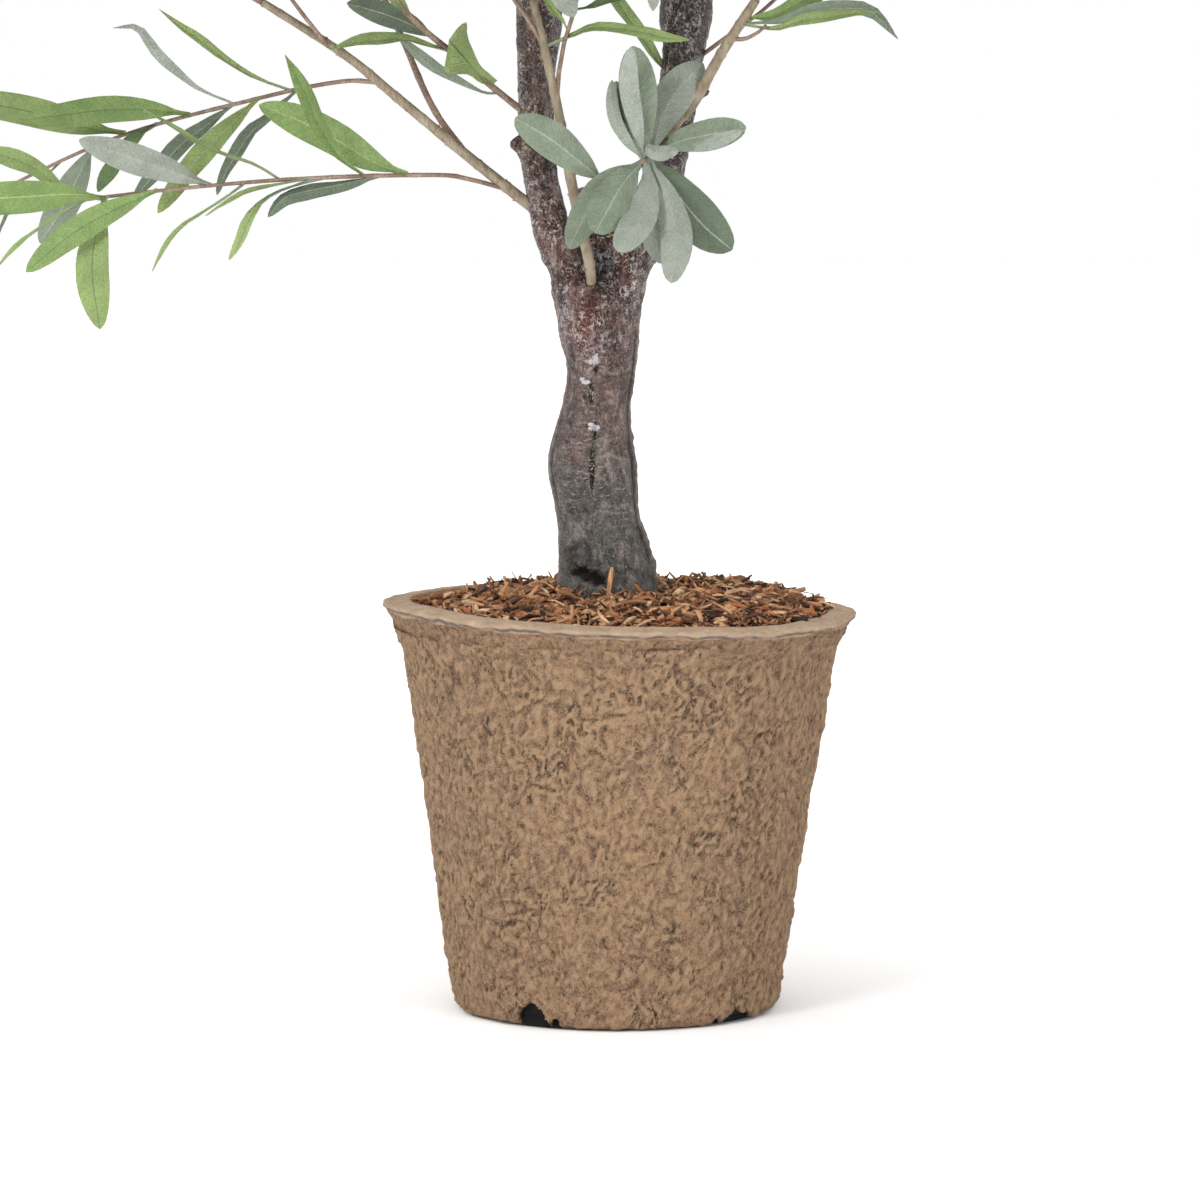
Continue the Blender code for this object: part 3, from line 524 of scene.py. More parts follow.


def pulp_finish(name):
    """Tan pulp, browner in its dents. Raised fibres and crests are lighter, partly fibre colour and partly painted
    highlight, and painted shade darkens low fibres, hollows and the undersides of lips and torn edges.
    """
    finish = Finish(name, roughness=0.93)
    patches = finish.noise(0.016, 4.0, 0.6, 0.6)
    wads = finish.noise(0.0052, 5.0, 0.62, 1.0, (1, 1, 0.65))
    strands = finish.noise(0.0017, 4.0, 0.6, 1.8, (1, 1, 0.7))
    folds = finish.noise(0.0048, 6.0, 0.65, 1.4, (1, 1, 0.75))
    crests = 1.0 - abs(folds * 2.0 - 1.0) * 3.0
    grit = finish.noise(0.001, 3.0, 0.7)
    torn, edges = finish.torn_edges(0.0085, 0.0045, 0.13)
    low = (0.5 - finish.mark("lumps") * 0.8 + (patches - 0.5) * 2.6).between(0.35, 1.25)
    colour = finish.coats(
        from_screen(*PULP_TAN),
        (low * 0.95, PULP_DENT),
        # wads, strands and grit follow the bump: lighter on top, partly fibre colour and partly painted highlight,
        # and darker where low, which is painted shade
        (wads.between(0.56, 0.72) * 0.55, PULP_FIBRE_HIGHLIGHT),
        (wads.between(0.46, 0.3) * 0.6, PULP_SHADE),
        (strands.between(0.53, 0.68) * 0.6, PULP_FIBRE_HIGHLIGHT),
        (strands.between(0.46, 0.3) * 0.65, PULP_SHADE),
        # painted shadow under the torn edges
        (edges * 0.65, PULP_SHADE),
        # painted shade in the hollows, and painted highlight where the pulp stands out
        (finish.mark("hollow").between(0.04, 0.5) * 0.8, PULP_HOLLOW_SHADE),
        (finish.mark("hollow").between(-0.02, -0.34) * 0.8, PULP_FIBRE_HIGHLIGHT),
        # painted shadow under the lips of the flakes
        (finish.mark("lips") * 0.55, PULP_SHADE),
        # painted highlight on the crests
        (crests.between(0.55, 1.0) * 0.6, PULP_FIBRE_HIGHLIGHT),
        (grit.between(0.54, 0.7) * 0.45, PULP_FIBRE_HIGHLIGHT),
        (grit.between(0.46, 0.32) * 0.4, PULP_SHADE))
    # painted shade: the pushed-in drain notches are coloured near-black
    colour = finish.mix(finish.mark("notch").between(0.1, 0.6), colour, NOTCH_SHADE_BLACK)
    fibres = wads * 1.2 + strands * 0.9 + crests.between(-0.2, 1.0) * 0.5 + grit * 0.2
    return finish.apply(colour, normal=finish.bump(fibres - edges * 0.7 + torn * 0.5, 0.006))


pulp = pulp_finish("pot_pulp")
# the hollow mark feeds the painted shade and painted highlight of the pulp finish
marks = {"lips": with_ends(lips), "lumps": with_ends(lumps), "hollow": with_ends(hollows(relief)),
         "notch": with_ends(notch)}
settle(build_mesh("pot_wall", *turned(body_points), [pulp], marks=marks), "pot_pulp", "pot")

# %% [markdown]
# ## The flange
# The top of the pot is rolled over a flat flange, which the mould presses smoother than the wall. It is a
# loop in section, carried round the pot. Its height wanders by a few millimetres, as dried pulp warps, and a
# band of matted fibre hangs under its edge.

# %% Flange
FLANGE_LOOP = [  # its section as (r, z) in millimetres
    (123.6, 218), (123.5, 226), (123.5, 233), (123.5, 237.2), (123.8, 238.8), (124.6, 239.7),
    (126.2, 240), (128.5, 239.8), (131, 239.4), (133.5, 239), (135.8, 238.6), (137.6, 238.2), (139, 237.7),
    (139.7, 237), (139.9, 236.2), (139.4, 235.4), (138.6, 234.6), (137.7, 233.7), (136.8, 232.6), (136, 231.5),
    (135.3, 230.4), (134.7, 229.3), (134.1, 228.1), (133.5, 226.8), (132.9, 225.4), (132.2, 223.8), (131.4, 222.2),
    (130.4, 220.6), (129, 219), (126.4, 218)]
FLANGE_STEPS = 2  # rows for each of the loop's points
FLANGE_BORE = 0.1245  # the wall inside this radius is pressed smooth
FLANGE_BROW = 0.135  # the shaded line under the edge shows beyond this radius


def looped(rows):
    """A closed ring of rings: both the rows and the columns wrap round, as on a torus."""
    count, columns = rows.shape[:2]
    place = np.arange(count * columns).reshape(count, columns)
    right, up = np.roll(place, -1, axis=1), np.roll(place, -1, axis=0)
    return rows.reshape(-1, 3), np.stack([place, right, np.roll(right, -1, axis=0), up], -1).reshape(-1, 4)


loop = np.array(FLANGE_LOOP) / 1000
loop = np.concatenate([loop + (np.roll(loop, -1, axis=0) - loop) * k / FLANGE_STEPS for k in range(FLANGE_STEPS)], 1)
flange_rows, flange_away, _ = profile_rows(loop.reshape(-1, 2), POT_COLUMNS)
flange_reach = np.linalg.norm(flange_rows[..., :2], axis=-1)
flange_plan = flange_rows * (1, 1, 0)
under = smooth_step(0.235, 0.2325, flange_rows[..., 2]) * (flange_reach > FLANGE_BORE)
relief, lips, lumps = pulp_relief(flange_rows)
tangle = rough_noise(flange_rows, 0.0065, 3, (1.6, 1.6, 0.7), shift=21.0)
pressed = 0.35 * MM * rough_noise(flange_rows, 0.012, 3, shift=23.0)
push = under * (0.8 * relief + 2.4 * MM * tangle) + (1 - under) * pressed
flange_points = flange_rows + flange_away * push[..., None]
warp = 1.6 * np.sin(2 * pot_turn + 0.6) + 0.8 * np.sin(5 * pot_turn + 2.0) + 0.5 * np.sin(9 * pot_turn)
lift = smooth_step(0.212, 0.236, flange_rows[..., 2])
tilt = 1.5 * MM - 0.0265 * flange_rows[..., 0] - 0.0105 * flange_rows[..., 1]
flange_points[..., 2] += lift * (0.5 * warp * MM + tilt)
outer = smooth_step(0.13, 0.1385, flange_reach)
nicks = rough_noise(flange_plan, 0.011, 3, shift=37.0)
wander = 0.0045 * np.sin(6 * pot_turn + 0.9) + 0.003 * np.sin(11 * pot_turn) + 0.012 * nicks
flange_points[..., :2] *= 1 + (outer * wander)[..., None]
curl = 1.1 * MM * rough_noise(flange_plan, 0.009, 3, shift=41.0)
flange_points[..., 2] += outer * (1 - under) * curl
print("highest point of the flange:", round(flange_points[..., 2].max() / MM, 1), "mm")

# %% Flange finish
flange_finish = Finish("flange_pulp", roughness=0.9)
mottle = flange_finish.noise(0.01, 4.0, 0.6, 0.4)
hairs = flange_finish.noise(0.0018, 4.0, 0.65, 1.5, (1.0, 1.0, 2.0))
# painted shadow: a dark line under the flange's outer edge
painted_edge_shadow = flange_finish.mark("edge") * mottle.between(0.3, 0.52)
flange_colour = flange_finish.coats(
    from_screen(158, 134, 110),
    (mottle.between(0.3, 0.7), (192, 166, 140)),
    (hairs.between(0.54, 0.7) * 0.6, (112, 88, 72)),
    (hairs.between(0.44, 0.32) * 0.5, (206, 184, 158)),
    (painted_edge_shadow * 0.95, (84, 70, 66)))
flange_bump = flange_finish.bump(hairs * 0.7 + mottle * 0.6, 0.0012, 0.9)
flange_look = flange_finish.apply(flange_colour, normal=flange_bump)
verts, quads = looped(flange_points)
# the painted shadow line under the edge follows this wavy height
edge_at = 0.235 + 0.0016 * rough_noise(flange_rows, 0.012, 3, shift=27.0)
edge = bell(flange_rows[..., 2] - edge_at, 1 * MM) * (flange_reach > FLANGE_BROW)
marks = {"edge": edge.ravel(), "hollow": hollows(relief * 0.7 + 1.9 * MM * tangle).ravel(), "lips": lips.ravel(),
         "lumps": lumps.ravel(), "notch": np.zeros(under.size)}
rough_side = (under.ravel()[quads].mean(axis=1) > 0.5).astype(int)
pot_flange = build_mesh("pot_flange", verts, quads, None, [flange_look, pulp], rough_side, marks)
settle(pot_flange, "pot_pulp", "pot")

# %% [markdown]
# ## The ballast
# A block of cement under the bark keeps the tree upright. It is only glimpsed through the drain notches, so the
# imported solid stays as it is and takes a near-black finish, painted shade for the dark inside of the pot.

# %% Ballast finish
ballast_finish = Finish("ballast_cement", roughness=0.95)
aggregate = ballast_finish.noise(0.004, 4.0, 0.6)
# painted shade: the cement is coloured near-black
ballast_colour = ballast_finish.mix(aggregate, from_screen(7, 6, 5), from_screen(18, 15, 13))
ballast_look = ballast_finish.apply(ballast_colour, normal=ballast_finish.bump(aggregate, 0.001))
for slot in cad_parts["ballast"].material_slots:
    slot.material = ballast_look

# %% [markdown]
# ## The bark mulch
# The ballast is hidden under shredded pine bark: thousands of splinters from 4 to 27 mm long, lying at all
# angles. A dark bed under them is painted shade in the gaps. Each splinter is a bent, tapered four-sided stick, and
# all of them are one array, so that the whole layer is a single mesh. Six browns are dealt out among them.

# %% Bed of painted shade under the splinters
MULCH_EDGE = 0.2385
MULCH_CREST = 0.2485
MULCH_RADIUS = 0.1225
MULCH_FOOT = 0.212
HEAP_HEIGHT = 5.5 * MM
BED_DROP = 2.5 * MM  # the bed lies this far under the tops of the splinters
BED_MIDDLE = 0.008  # radius of its innermost ring
BED_ROWS = 60
BED_COLUMNS = 240


def mulch_height(x, y):
    """Height of the layer: a low dome, with heaps and hollows of a few millimetres."""
    place = np.stack([x, y, np.zeros_like(x)], -1)
    heaps = rough_noise(place, 0.024, 2, shift=31.0)
    reach = np.hypot(x, y)
    dome = MULCH_CREST - (MULCH_CREST - MULCH_EDGE) * np.clip(reach / MULCH_RADIUS, 0.0, 1.0) ** 5
    return dome + HEAP_HEIGHT * heaps * smooth_step(MULCH_RADIUS, 0.7 * MULCH_RADIUS, reach)


bed_profile = [(BED_MIDDLE, MULCH_FOOT), (MULCH_RADIUS, MULCH_FOOT), (MULCH_RADIUS, MULCH_EDGE - 0.006)]
under_rows = len(bed_profile)
bed_profile += [(r, 0.0) for r in np.linspace(MULCH_RADIUS, BED_MIDDLE, BED_ROWS)]
bed_rows, _, _ = profile_rows(bed_profile, BED_COLUMNS)
bed_top = bed_rows[under_rows:]
bed_top[..., 2] = mulch_height(bed_top[..., 0], bed_top[..., 1]) - BED_DROP
bed_top[..., 2] += 2.2 * MM * rough_noise(bed_top, 0.006, 3)
bed_finish = Finish("mulch_bed_shade", roughness=0.95)
shade_mottle = bed_finish.noise(0.003, 4.0, 0.7)
# painted shade: the bed is a near-black brown, as the gaps between the splinters look
bed_colour = bed_finish.mix(shade_mottle.between(0.35, 0.75), from_screen(17, 12, 9), from_screen(62, 42, 29))
bed_look = bed_finish.apply(bed_colour, normal=bed_finish.bump(shade_mottle, 0.002))
settle(build_mesh("mulch_bed", *turned(bed_rows), [bed_look]), "bark_mulch", "mulch")

# %% Splinters
SPLINTERS = 5700
SPLINTER_STATIONS = np.array((-0.5, -0.2, 0.2, 0.5))
SPLINTER_TAPER = np.array((0.72, 0.95, 1.0, 0.6))
TRUNK_CLEAR = 0.026  # the splinters start this far from the trunk's middle
TRUNK_MIDDLE = np.array((-0.0072, 0.0))
BARE_TURN = math.radians(140)  # the direction in which a patch at the edge of the pot stays bare
BARE_HALF_TURN = 0.22
BARE_RADIUS = 0.108  # the patch lies beyond this radius
CORNERS = 4  # each splinter has a four-cornered section


def splinter_frames(dice, count):
    """Random places, directions and sizes. Lengths follow a bell curve of logarithms, so a few are long."""
    reach = np.sqrt(dice.uniform(0, 1, count)) * (MULCH_RADIUS - 1 * MM)
    turn = dice.uniform(0, 2 * math.pi, count)
    depth = dice.uniform(0, 1, count) ** 1.3
    x, y = reach * np.cos(turn), reach * np.sin(turn)
    centre = np.stack([x, y, mulch_height(x, y) - 4.0 * MM * depth], -1)
    yaw = dice.uniform(0, 2 * math.pi, count)
    pitch = dice.normal(0, 0.27, count)
    pitch = np.where(dice.uniform(size=count) < 0.035, dice.uniform(0.5, 1.1, count), pitch)
    along = np.stack([np.cos(yaw) * np.cos(pitch), np.sin(yaw) * np.cos(pitch), np.sin(pitch)], -1)
    tilt = dice.normal(0, 0.7, count)
    flat = unit(np.cross((0, 0, 1), along))
    side = flat * np.cos(tilt)[:, None] + np.cross(along, flat) * np.sin(tilt)[:, None]
    length = np.clip(np.exp(dice.normal(math.log(11.0), 0.45, count)), 4.0, 27.0) * MM
    width = np.clip(np.exp(dice.normal(math.log(1.95), 0.42, count)), 0.8, 4.4) * MM
    return centre, along, side, length, width


def splinter_points(dice, centre, along, side, length, width):
    """Stations along each splinter, bent as a shallow arc, each with a flat four-cornered section."""
    count = len(length)
    up = np.cross(along, side)
    arc = length[:, None] * (1 - 4 * SPLINTER_STATIONS ** 2)
    bend = dice.normal(0.0, 0.1, count)[:, None] * arc
    sway = dice.normal(0.0, 0.07, count)[:, None] * arc
    spine = (centre[:, None] + along[:, None] * (SPLINTER_STATIONS * length[:, None])[..., None]
             + up[:, None] * bend[..., None] + side[:, None] * sway[..., None])
    half = 0.5 * width[:, None] * SPLINTER_TAPER * dice.uniform(0.75, 1.25, (count, len(SPLINTER_STATIONS)))
    thick = half * dice.uniform(0.35, 0.7, (count, 1))
    section = np.array(((-1, -1), (1, -1), (1, 1), (-1, 1)))
    across = half[..., None] * section[:, 0]
    above = thick[..., None] * section[:, 1] * dice.uniform(0.7, 1.3, (*half.shape, CORNERS))
    return spine[:, :, None] + side[:, None, None] * across[..., None] + up[:, None, None] * above[..., None]


def bar_quads(count, stations):
    """Faces of four-sided bars laid out as (bar, station, corner), with a quad at each end."""
    place = np.arange(count * stations * CORNERS).reshape(count, stations, CORNERS)
    near, far = place[:, :-1], place[:, 1:]
    walls = np.stack([near, np.roll(near, -1, 2), np.roll(far, -1, 2), far], -1).reshape(count, -1, 4)
    ends = np.stack([place[:, 0, ::-1], place[:, -1]], 1)
    return np.concatenate([walls, ends], 1).reshape(-1, 4)

# %% Splinters strewn
dice = np.random.default_rng(31)
frames = splinter_frames(dice, SPLINTERS)
centres = frames[0][:, :2]
near_trunk = np.linalg.norm(centres - TRUNK_MIDDLE, axis=-1) < TRUNK_CLEAR
turned_to_gap = np.abs(np.arctan2(centres[:, 1], centres[:, 0]) - BARE_TURN) < BARE_HALF_TURN
in_gap = turned_to_gap & (np.linalg.norm(centres, axis=-1) > BARE_RADIUS)
frames = [part[~(near_trunk | in_gap)] for part in frames]
upright_stick = (np.array(((-0.006, -0.0345, 0.256),)), unit(np.array(((0.14, 0.1, 1.0),))),
                 np.array(((1.0, 0.0, -0.14),)), np.array((0.022,)), np.array((0.0026,)))
frames = [np.concatenate([part, extra]) for part, extra in zip(frames, upright_stick)]
sticks = splinter_points(dice, *frames)
reach = np.linalg.norm(sticks[..., :2], axis=-1)
inside = np.minimum(1.0, (MULCH_RADIUS + 0.5 * MM) / np.maximum(reach, 1e-9))
sticks[..., :2] *= np.where(sticks[..., 2:] < POT_HEIGHT - 0.001, inside[..., None], 1.0)
print(len(sticks), "splinters")

# %% Splinter finish
SPLINTER_BROWNS = (  # each brown and its share of the splinters
    ((54, 36, 25), 0.13), ((110, 71, 47), 0.16), ((168, 114, 76), 0.21), ((214, 158, 113), 0.22),
    ((236, 193, 150), 0.14), ((186, 120, 75), 0.14))
UPRIGHT_STICK_BROWN = 3


def splinter_finish(name, tone):
    """Shredded bark: one brown, streaked darker and lighter along the splinter's own length."""
    finish = Finish(name, roughness=0.88)
    base = from_screen(*tone)
    chart = finish.node("ShaderNodeUVMap", {"uv_map": "chart"})
    grain = finish.node("ShaderNodeMapping", {}, {"Vector": chart, "Scale": (1.2, 9.0, 1.0)})
    streak = finish.node("ShaderNodeTexNoise", {}, {"Vector": grain, "Scale": 2.0, "Detail": 4.0})
    darker = tuple(0.24 * part for part in base)
    lighter = tuple(min(1.0, 1.8 * part) for part in base)
    colour = finish.mix(streak.between(0.35, 0.55), darker, base)
    colour = finish.mix(streak.between(0.58, 0.75) * 0.6, colour, lighter)
    return finish.apply(colour, normal=finish.bump(streak, 0.0006))


looks = [splinter_finish(f"splinter_{k}", tone) for k, (tone, _) in enumerate(SPLINTER_BROWNS)]
shares = np.array([share for _, share in SPLINTER_BROWNS])
dealt = dice.choice(len(looks), len(sticks), p=shares / shares.sum())
dealt[-1] = UPRIGHT_STICK_BROWN
station_chart = np.broadcast_to(np.arange(len(SPLINTER_STATIONS))[None, :, None] / 3.0, sticks.shape[:3])
corner_chart = np.broadcast_to(np.array((0.0, 0.33, 0.5, 0.83)), sticks.shape[:3])
own_shift = np.arange(len(sticks))[:, None, None] * 0.37
chart = np.stack([station_chart + own_shift, corner_chart + own_shift * 1.7], -1).reshape(-1, 2)
quads = bar_quads(len(sticks), len(SPLINTER_STATIONS))
mulch_splinters = build_mesh("mulch_splinters", sticks.reshape(-1, 3), quads, None, looks,
                             np.repeat(dealt, len(quads) // len(sticks)), chart=chart)
settle(mulch_splinters, "bark_mulch", "mulch")

# %% [markdown]
# ## Trunk, limbs and boughs
# The trunk of such a tree is cast foam, shaped and painted after a real one: a swollen foot, a knee, a waist
# under the fork, and limbs with pruned stubs. Tubes along smooth paths give the shape. They cross at the forks,
# so they are made one skin by a voxel remesh, eased with a few rounds of averaging, and only then is the bark's
# relief pushed out along the normals.

# %% Stations of the trunk and limbs: x, y, z and radius in millimetres
TRUNK_FOOT = 205.3
TRUNK = (
    (-7.2, 0, TRUNK_FOOT, 31.8), (-7.2, 0, 250, 29.8), (-8.3, 0, 268, 27.6), (-12.2, 0, 291, 24.5),
    (-14.6, 0, 311, 25.5), (-16.3, 0, 327, 26.2), (-15.3, 0, 343, 23), (-12.8, 0, 364, 19.6), (-10.8, 0, 385, 20.8),
    (-12.2, 0, 406, 24), (-13, 0, 420, 24), (-12.6, 0, 430, 20), (-12.2, 0, 436.5, 12))
LIMB_LEFT = (
    (-19, 0, 390, 13), (-24.2, 0.5, 427, 15.8), (-29, 1, 442, 13.4), (-38.2, 2, 458.8, 11.9), (-44.1, 6, 481, 10.6),
    (-48.3, 10, 510.4, 10.8), (-49.4, 12, 551.6, 11.2), (-47.6, 12, 590, 13.8), (-50, 14, 640, 11),
    (-62, 18, 730, 10), (-86, 10, 830, 8.4), (-106, -6, 910, 6.4), (-120, -20, 970, 4.6))
LIMB_RIGHT = (
    (-6, 0, 390, 14), (-1.2, -0.5, 427, 15.6), (4.5, -1, 443, 14.3), (15.6, -2, 463.7, 12.8), (23.8, -2, 486.7, 12),
    (31.5, 0, 526.1, 11.9), (37.1, 3, 565.5, 12.2), (39.2, 4, 593, 15.8), (43, 2, 640, 11.6), (56, -6, 730, 10.2),
    (78, -8, 830, 8.6), (100, 6, 920, 6.4), (115, 20, 980, 4.6))
LEADER = ((-48, 13, 602, 12), (-24, 32, 690, 11.2), (-6, 30, 820, 9.8), (5, 15, 980, 7.8), (0, 0, 1120, 4.4))
BOUGH_FRONT = ((40, 3, 606, 10.5), (33, -42, 675, 9.5), (20, -85, 790, 7.8), (20, -110, 900, 4.4))
BOUGH_BACK = ((-12, 31, 770, 8), (15, 76, 840, 7), (50, 130, 940, 4.4))
LIMBS = (TRUNK, LIMB_LEFT, LIMB_RIGHT, LEADER, BOUGH_FRONT, BOUGH_BACK)
STUBS = (
    ((-47, 8, 502, 8.5), (-57, 3, 512, 5.5), (-62.5, 0, 516.5, 4.2)),
    ((-18, 8, 430, 7), (-20, 8, 460, 5.6), (-21.6, 6, 488, 5)),
    ((-12, 6, 426, 15), (-8.5, 5, 448, 12.5), (-4.5, 4, 465, 9)),
    ((38, 2, 543, 7), (47, 1, 545, 5), (52.5, 0, 546.8, 3.4)))
print(len(LIMBS) + len(STUBS), "tubes")

# %% Paths and tubes
def in_metres(stations):
    """Stations given in millimetres, as an array in metres."""
    return np.array(stations, float) / 1000


def smooth_path(stations, steps):
    """A Catmull-Rom curve through the stations: each stretch is a cubic whose end slopes are half the step
    between the neighbours. Works on any number of columns, so a radius is carried along with the place."""
    knots = np.array(stations, float)
    knots = np.concatenate([2 * knots[:1] - knots[1:2], knots, 2 * knots[-1:] - knots[-2:-1]])
    t = (np.arange(steps) / steps)[None, :, None]
    a, b, c, d = (knots[k:len(knots) - 3 + k, None] for k in range(4))
    curve = 0.5 * (2 * b + (c - a) * t + (2 * a - 5 * b + 4 * c - d) * t ** 2 + (3 * b - a - 3 * c + d) * t ** 3)
    return np.concatenate([curve.reshape(-1, knots.shape[1]), knots[-2:-1]])


def walked_along(path):
    """The distance from the start of a path to each of its points."""
    return np.concatenate([[0.0], np.cumsum(np.linalg.norm(np.diff(path, axis=0), axis=1))])


def tubes(paths, radii, sides):
    """Round tubes along many paths at once, shaped (tube, station, 3). Each station's ring lies square to the
    path's own direction. Both ends are closed by a point. Returns vertices, quads and triangles."""
    along = unit(np.gradient(paths, axis=1))
    steep = np.abs(along[..., 2].mean(axis=1)) > 0.8
    guide = np.where(steep[:, None], (1, 0, 0), (0, 0, 1))[:, None]
    side = unit(np.cross(along, guide))
    up = np.cross(side, along)
    turn = 2 * math.pi * np.arange(sides) / sides
    ring = side[:, :, None] * np.cos(turn)[:, None] + up[:, :, None] * np.sin(turn)[:, None]
    verts = paths[:, :, None] + ring * radii[..., None, None]
    count, stations = paths.shape[:2]
    place = np.arange(count * stations * sides).reshape(count, stations, sides)
    near, far = place[:, :-1], place[:, 1:]
    quads = np.stack([near, far, np.roll(far, -1, 2), np.roll(near, -1, 2)], -1).reshape(-1, 4)
    tips = (place.size + np.arange(2 * count)).reshape(2, count, 1)
    start = np.stack([np.broadcast_to(tips[0], (count, sides)), place[:, 0], np.roll(place[:, 0], -1, 1)], -1)
    end = np.stack([np.broadcast_to(tips[1], (count, sides)), np.roll(place[:, -1], -1, 1), place[:, -1]], -1)
    tris = np.concatenate([start, end]).reshape(-1, 3)
    return np.concatenate([verts.reshape(-1, 3), paths[:, 0], paths[:, -1]]), quads, tris


# %% One skin over all the tubes
SKIN_VOXEL = 1.53 * MM
CORE_SIDES = 30
CORE_STEPS = 8  # rings from one station to the next
EASING_ROUNDS = 6

core_verts, core_quads, core_tris, offset = [], [], [], 0
for stations in (*LIMBS, *STUBS):
    path = smooth_path(in_metres(stations), CORE_STEPS)
    verts, quads, tris = tubes(path[None, :, :3], path[None, :, 3], CORE_SIDES)
    core_verts.append(verts)
    core_quads.append(quads + offset)
    core_tris.append(tris + offset)
    offset += len(verts)
core = build_mesh("core", np.concatenate(core_verts), np.concatenate(core_quads), np.concatenate(core_tris))
remesh = core.modifiers.new("one_skin", "REMESH")
remesh.mode = "VOXEL"
remesh.voxel_size = SKIN_VOXEL
skin = bpy.data.meshes.new_from_object(core.evaluated_get(bpy.context.evaluated_depsgraph_get()))
bpy.data.objects.remove(core, do_unlink=True)


def eased(mesh, rounds):
    """Vertices moved half-way to the mean of their neighbours along edges, a number of times."""
    verts = np.zeros(len(mesh.vertices) * 3)
    mesh.vertices.foreach_get("co", verts)
    verts = verts.reshape(-1, 3)
    edges = np.zeros(len(mesh.edges) * 2, np.int64)
    mesh.edges.foreach_get("vertices", edges)
    first, second = edges.reshape(-1, 2).T
    degree = np.bincount(np.concatenate([first, second]), minlength=len(verts))[:, None]
    for _ in range(rounds):
        total = np.stack([np.bincount(first, verts[second, k], len(verts))
                          + np.bincount(second, verts[first, k], len(verts)) for k in range(3)], -1)
        verts = 0.5 * verts + 0.5 * total / degree
    return verts


skin_verts = eased(skin, EASING_ROUNDS)
skin.vertices.foreach_set("co", skin_verts.ravel())
skin.update()
skin_normals = np.zeros(len(skin_verts) * 3)
skin.vertices.foreach_get("normal", skin_normals)
skin_normals = skin_normals.reshape(-1, 3)
print("skin:", len(skin_verts), "vertices,", len(skin.polygons), "faces")

# %% Relief and marks of the bark
SLITS = (  # x, height and half length of each dash of the crack down the front
    (-0.0139, 0.404, 0.013), (-0.0141, 0.3864, 0.006), (-0.0169, 0.369, 0.007), (-0.0151, 0.3468, 0.006),
    (-0.0163, 0.325, 0.013))
CHIPS_AND_GLINTS = (  # x, height, half width and half height of each pale spot: chipped paint and painted glints
    (-0.0145, 0.3885, 0.0022, 0.0038), (-0.0165, 0.3875, 0.003, 0.002), (-0.022, 0.3765, 0.0018, 0.0012),
    (-0.02, 0.375, 0.003, 0.0014), (-0.015, 0.348, 0.0032, 0.002), (-0.0168, 0.35, 0.002, 0.0012))
RIDGES = (  # height and half width of each wrinkle across the front
    (0.3822, 0.01), (0.3675, 0.006), (0.3627, 0.005), (0.355, 0.008), (0.3295, 0.012), (0.3027, 0.012),
    (0.2985, 0.014))
CAVITY = (-0.0195, 0.2612)  # a rotted hollow at the foot: x and height
KNOT = (-0.0235, 0.2715)  # a ring-shaped knot beside it
CUT = np.array((-0.0217, 0.006, 0.4905))  # the pale end of a pruned stub
CUT_SIZE = 0.0052


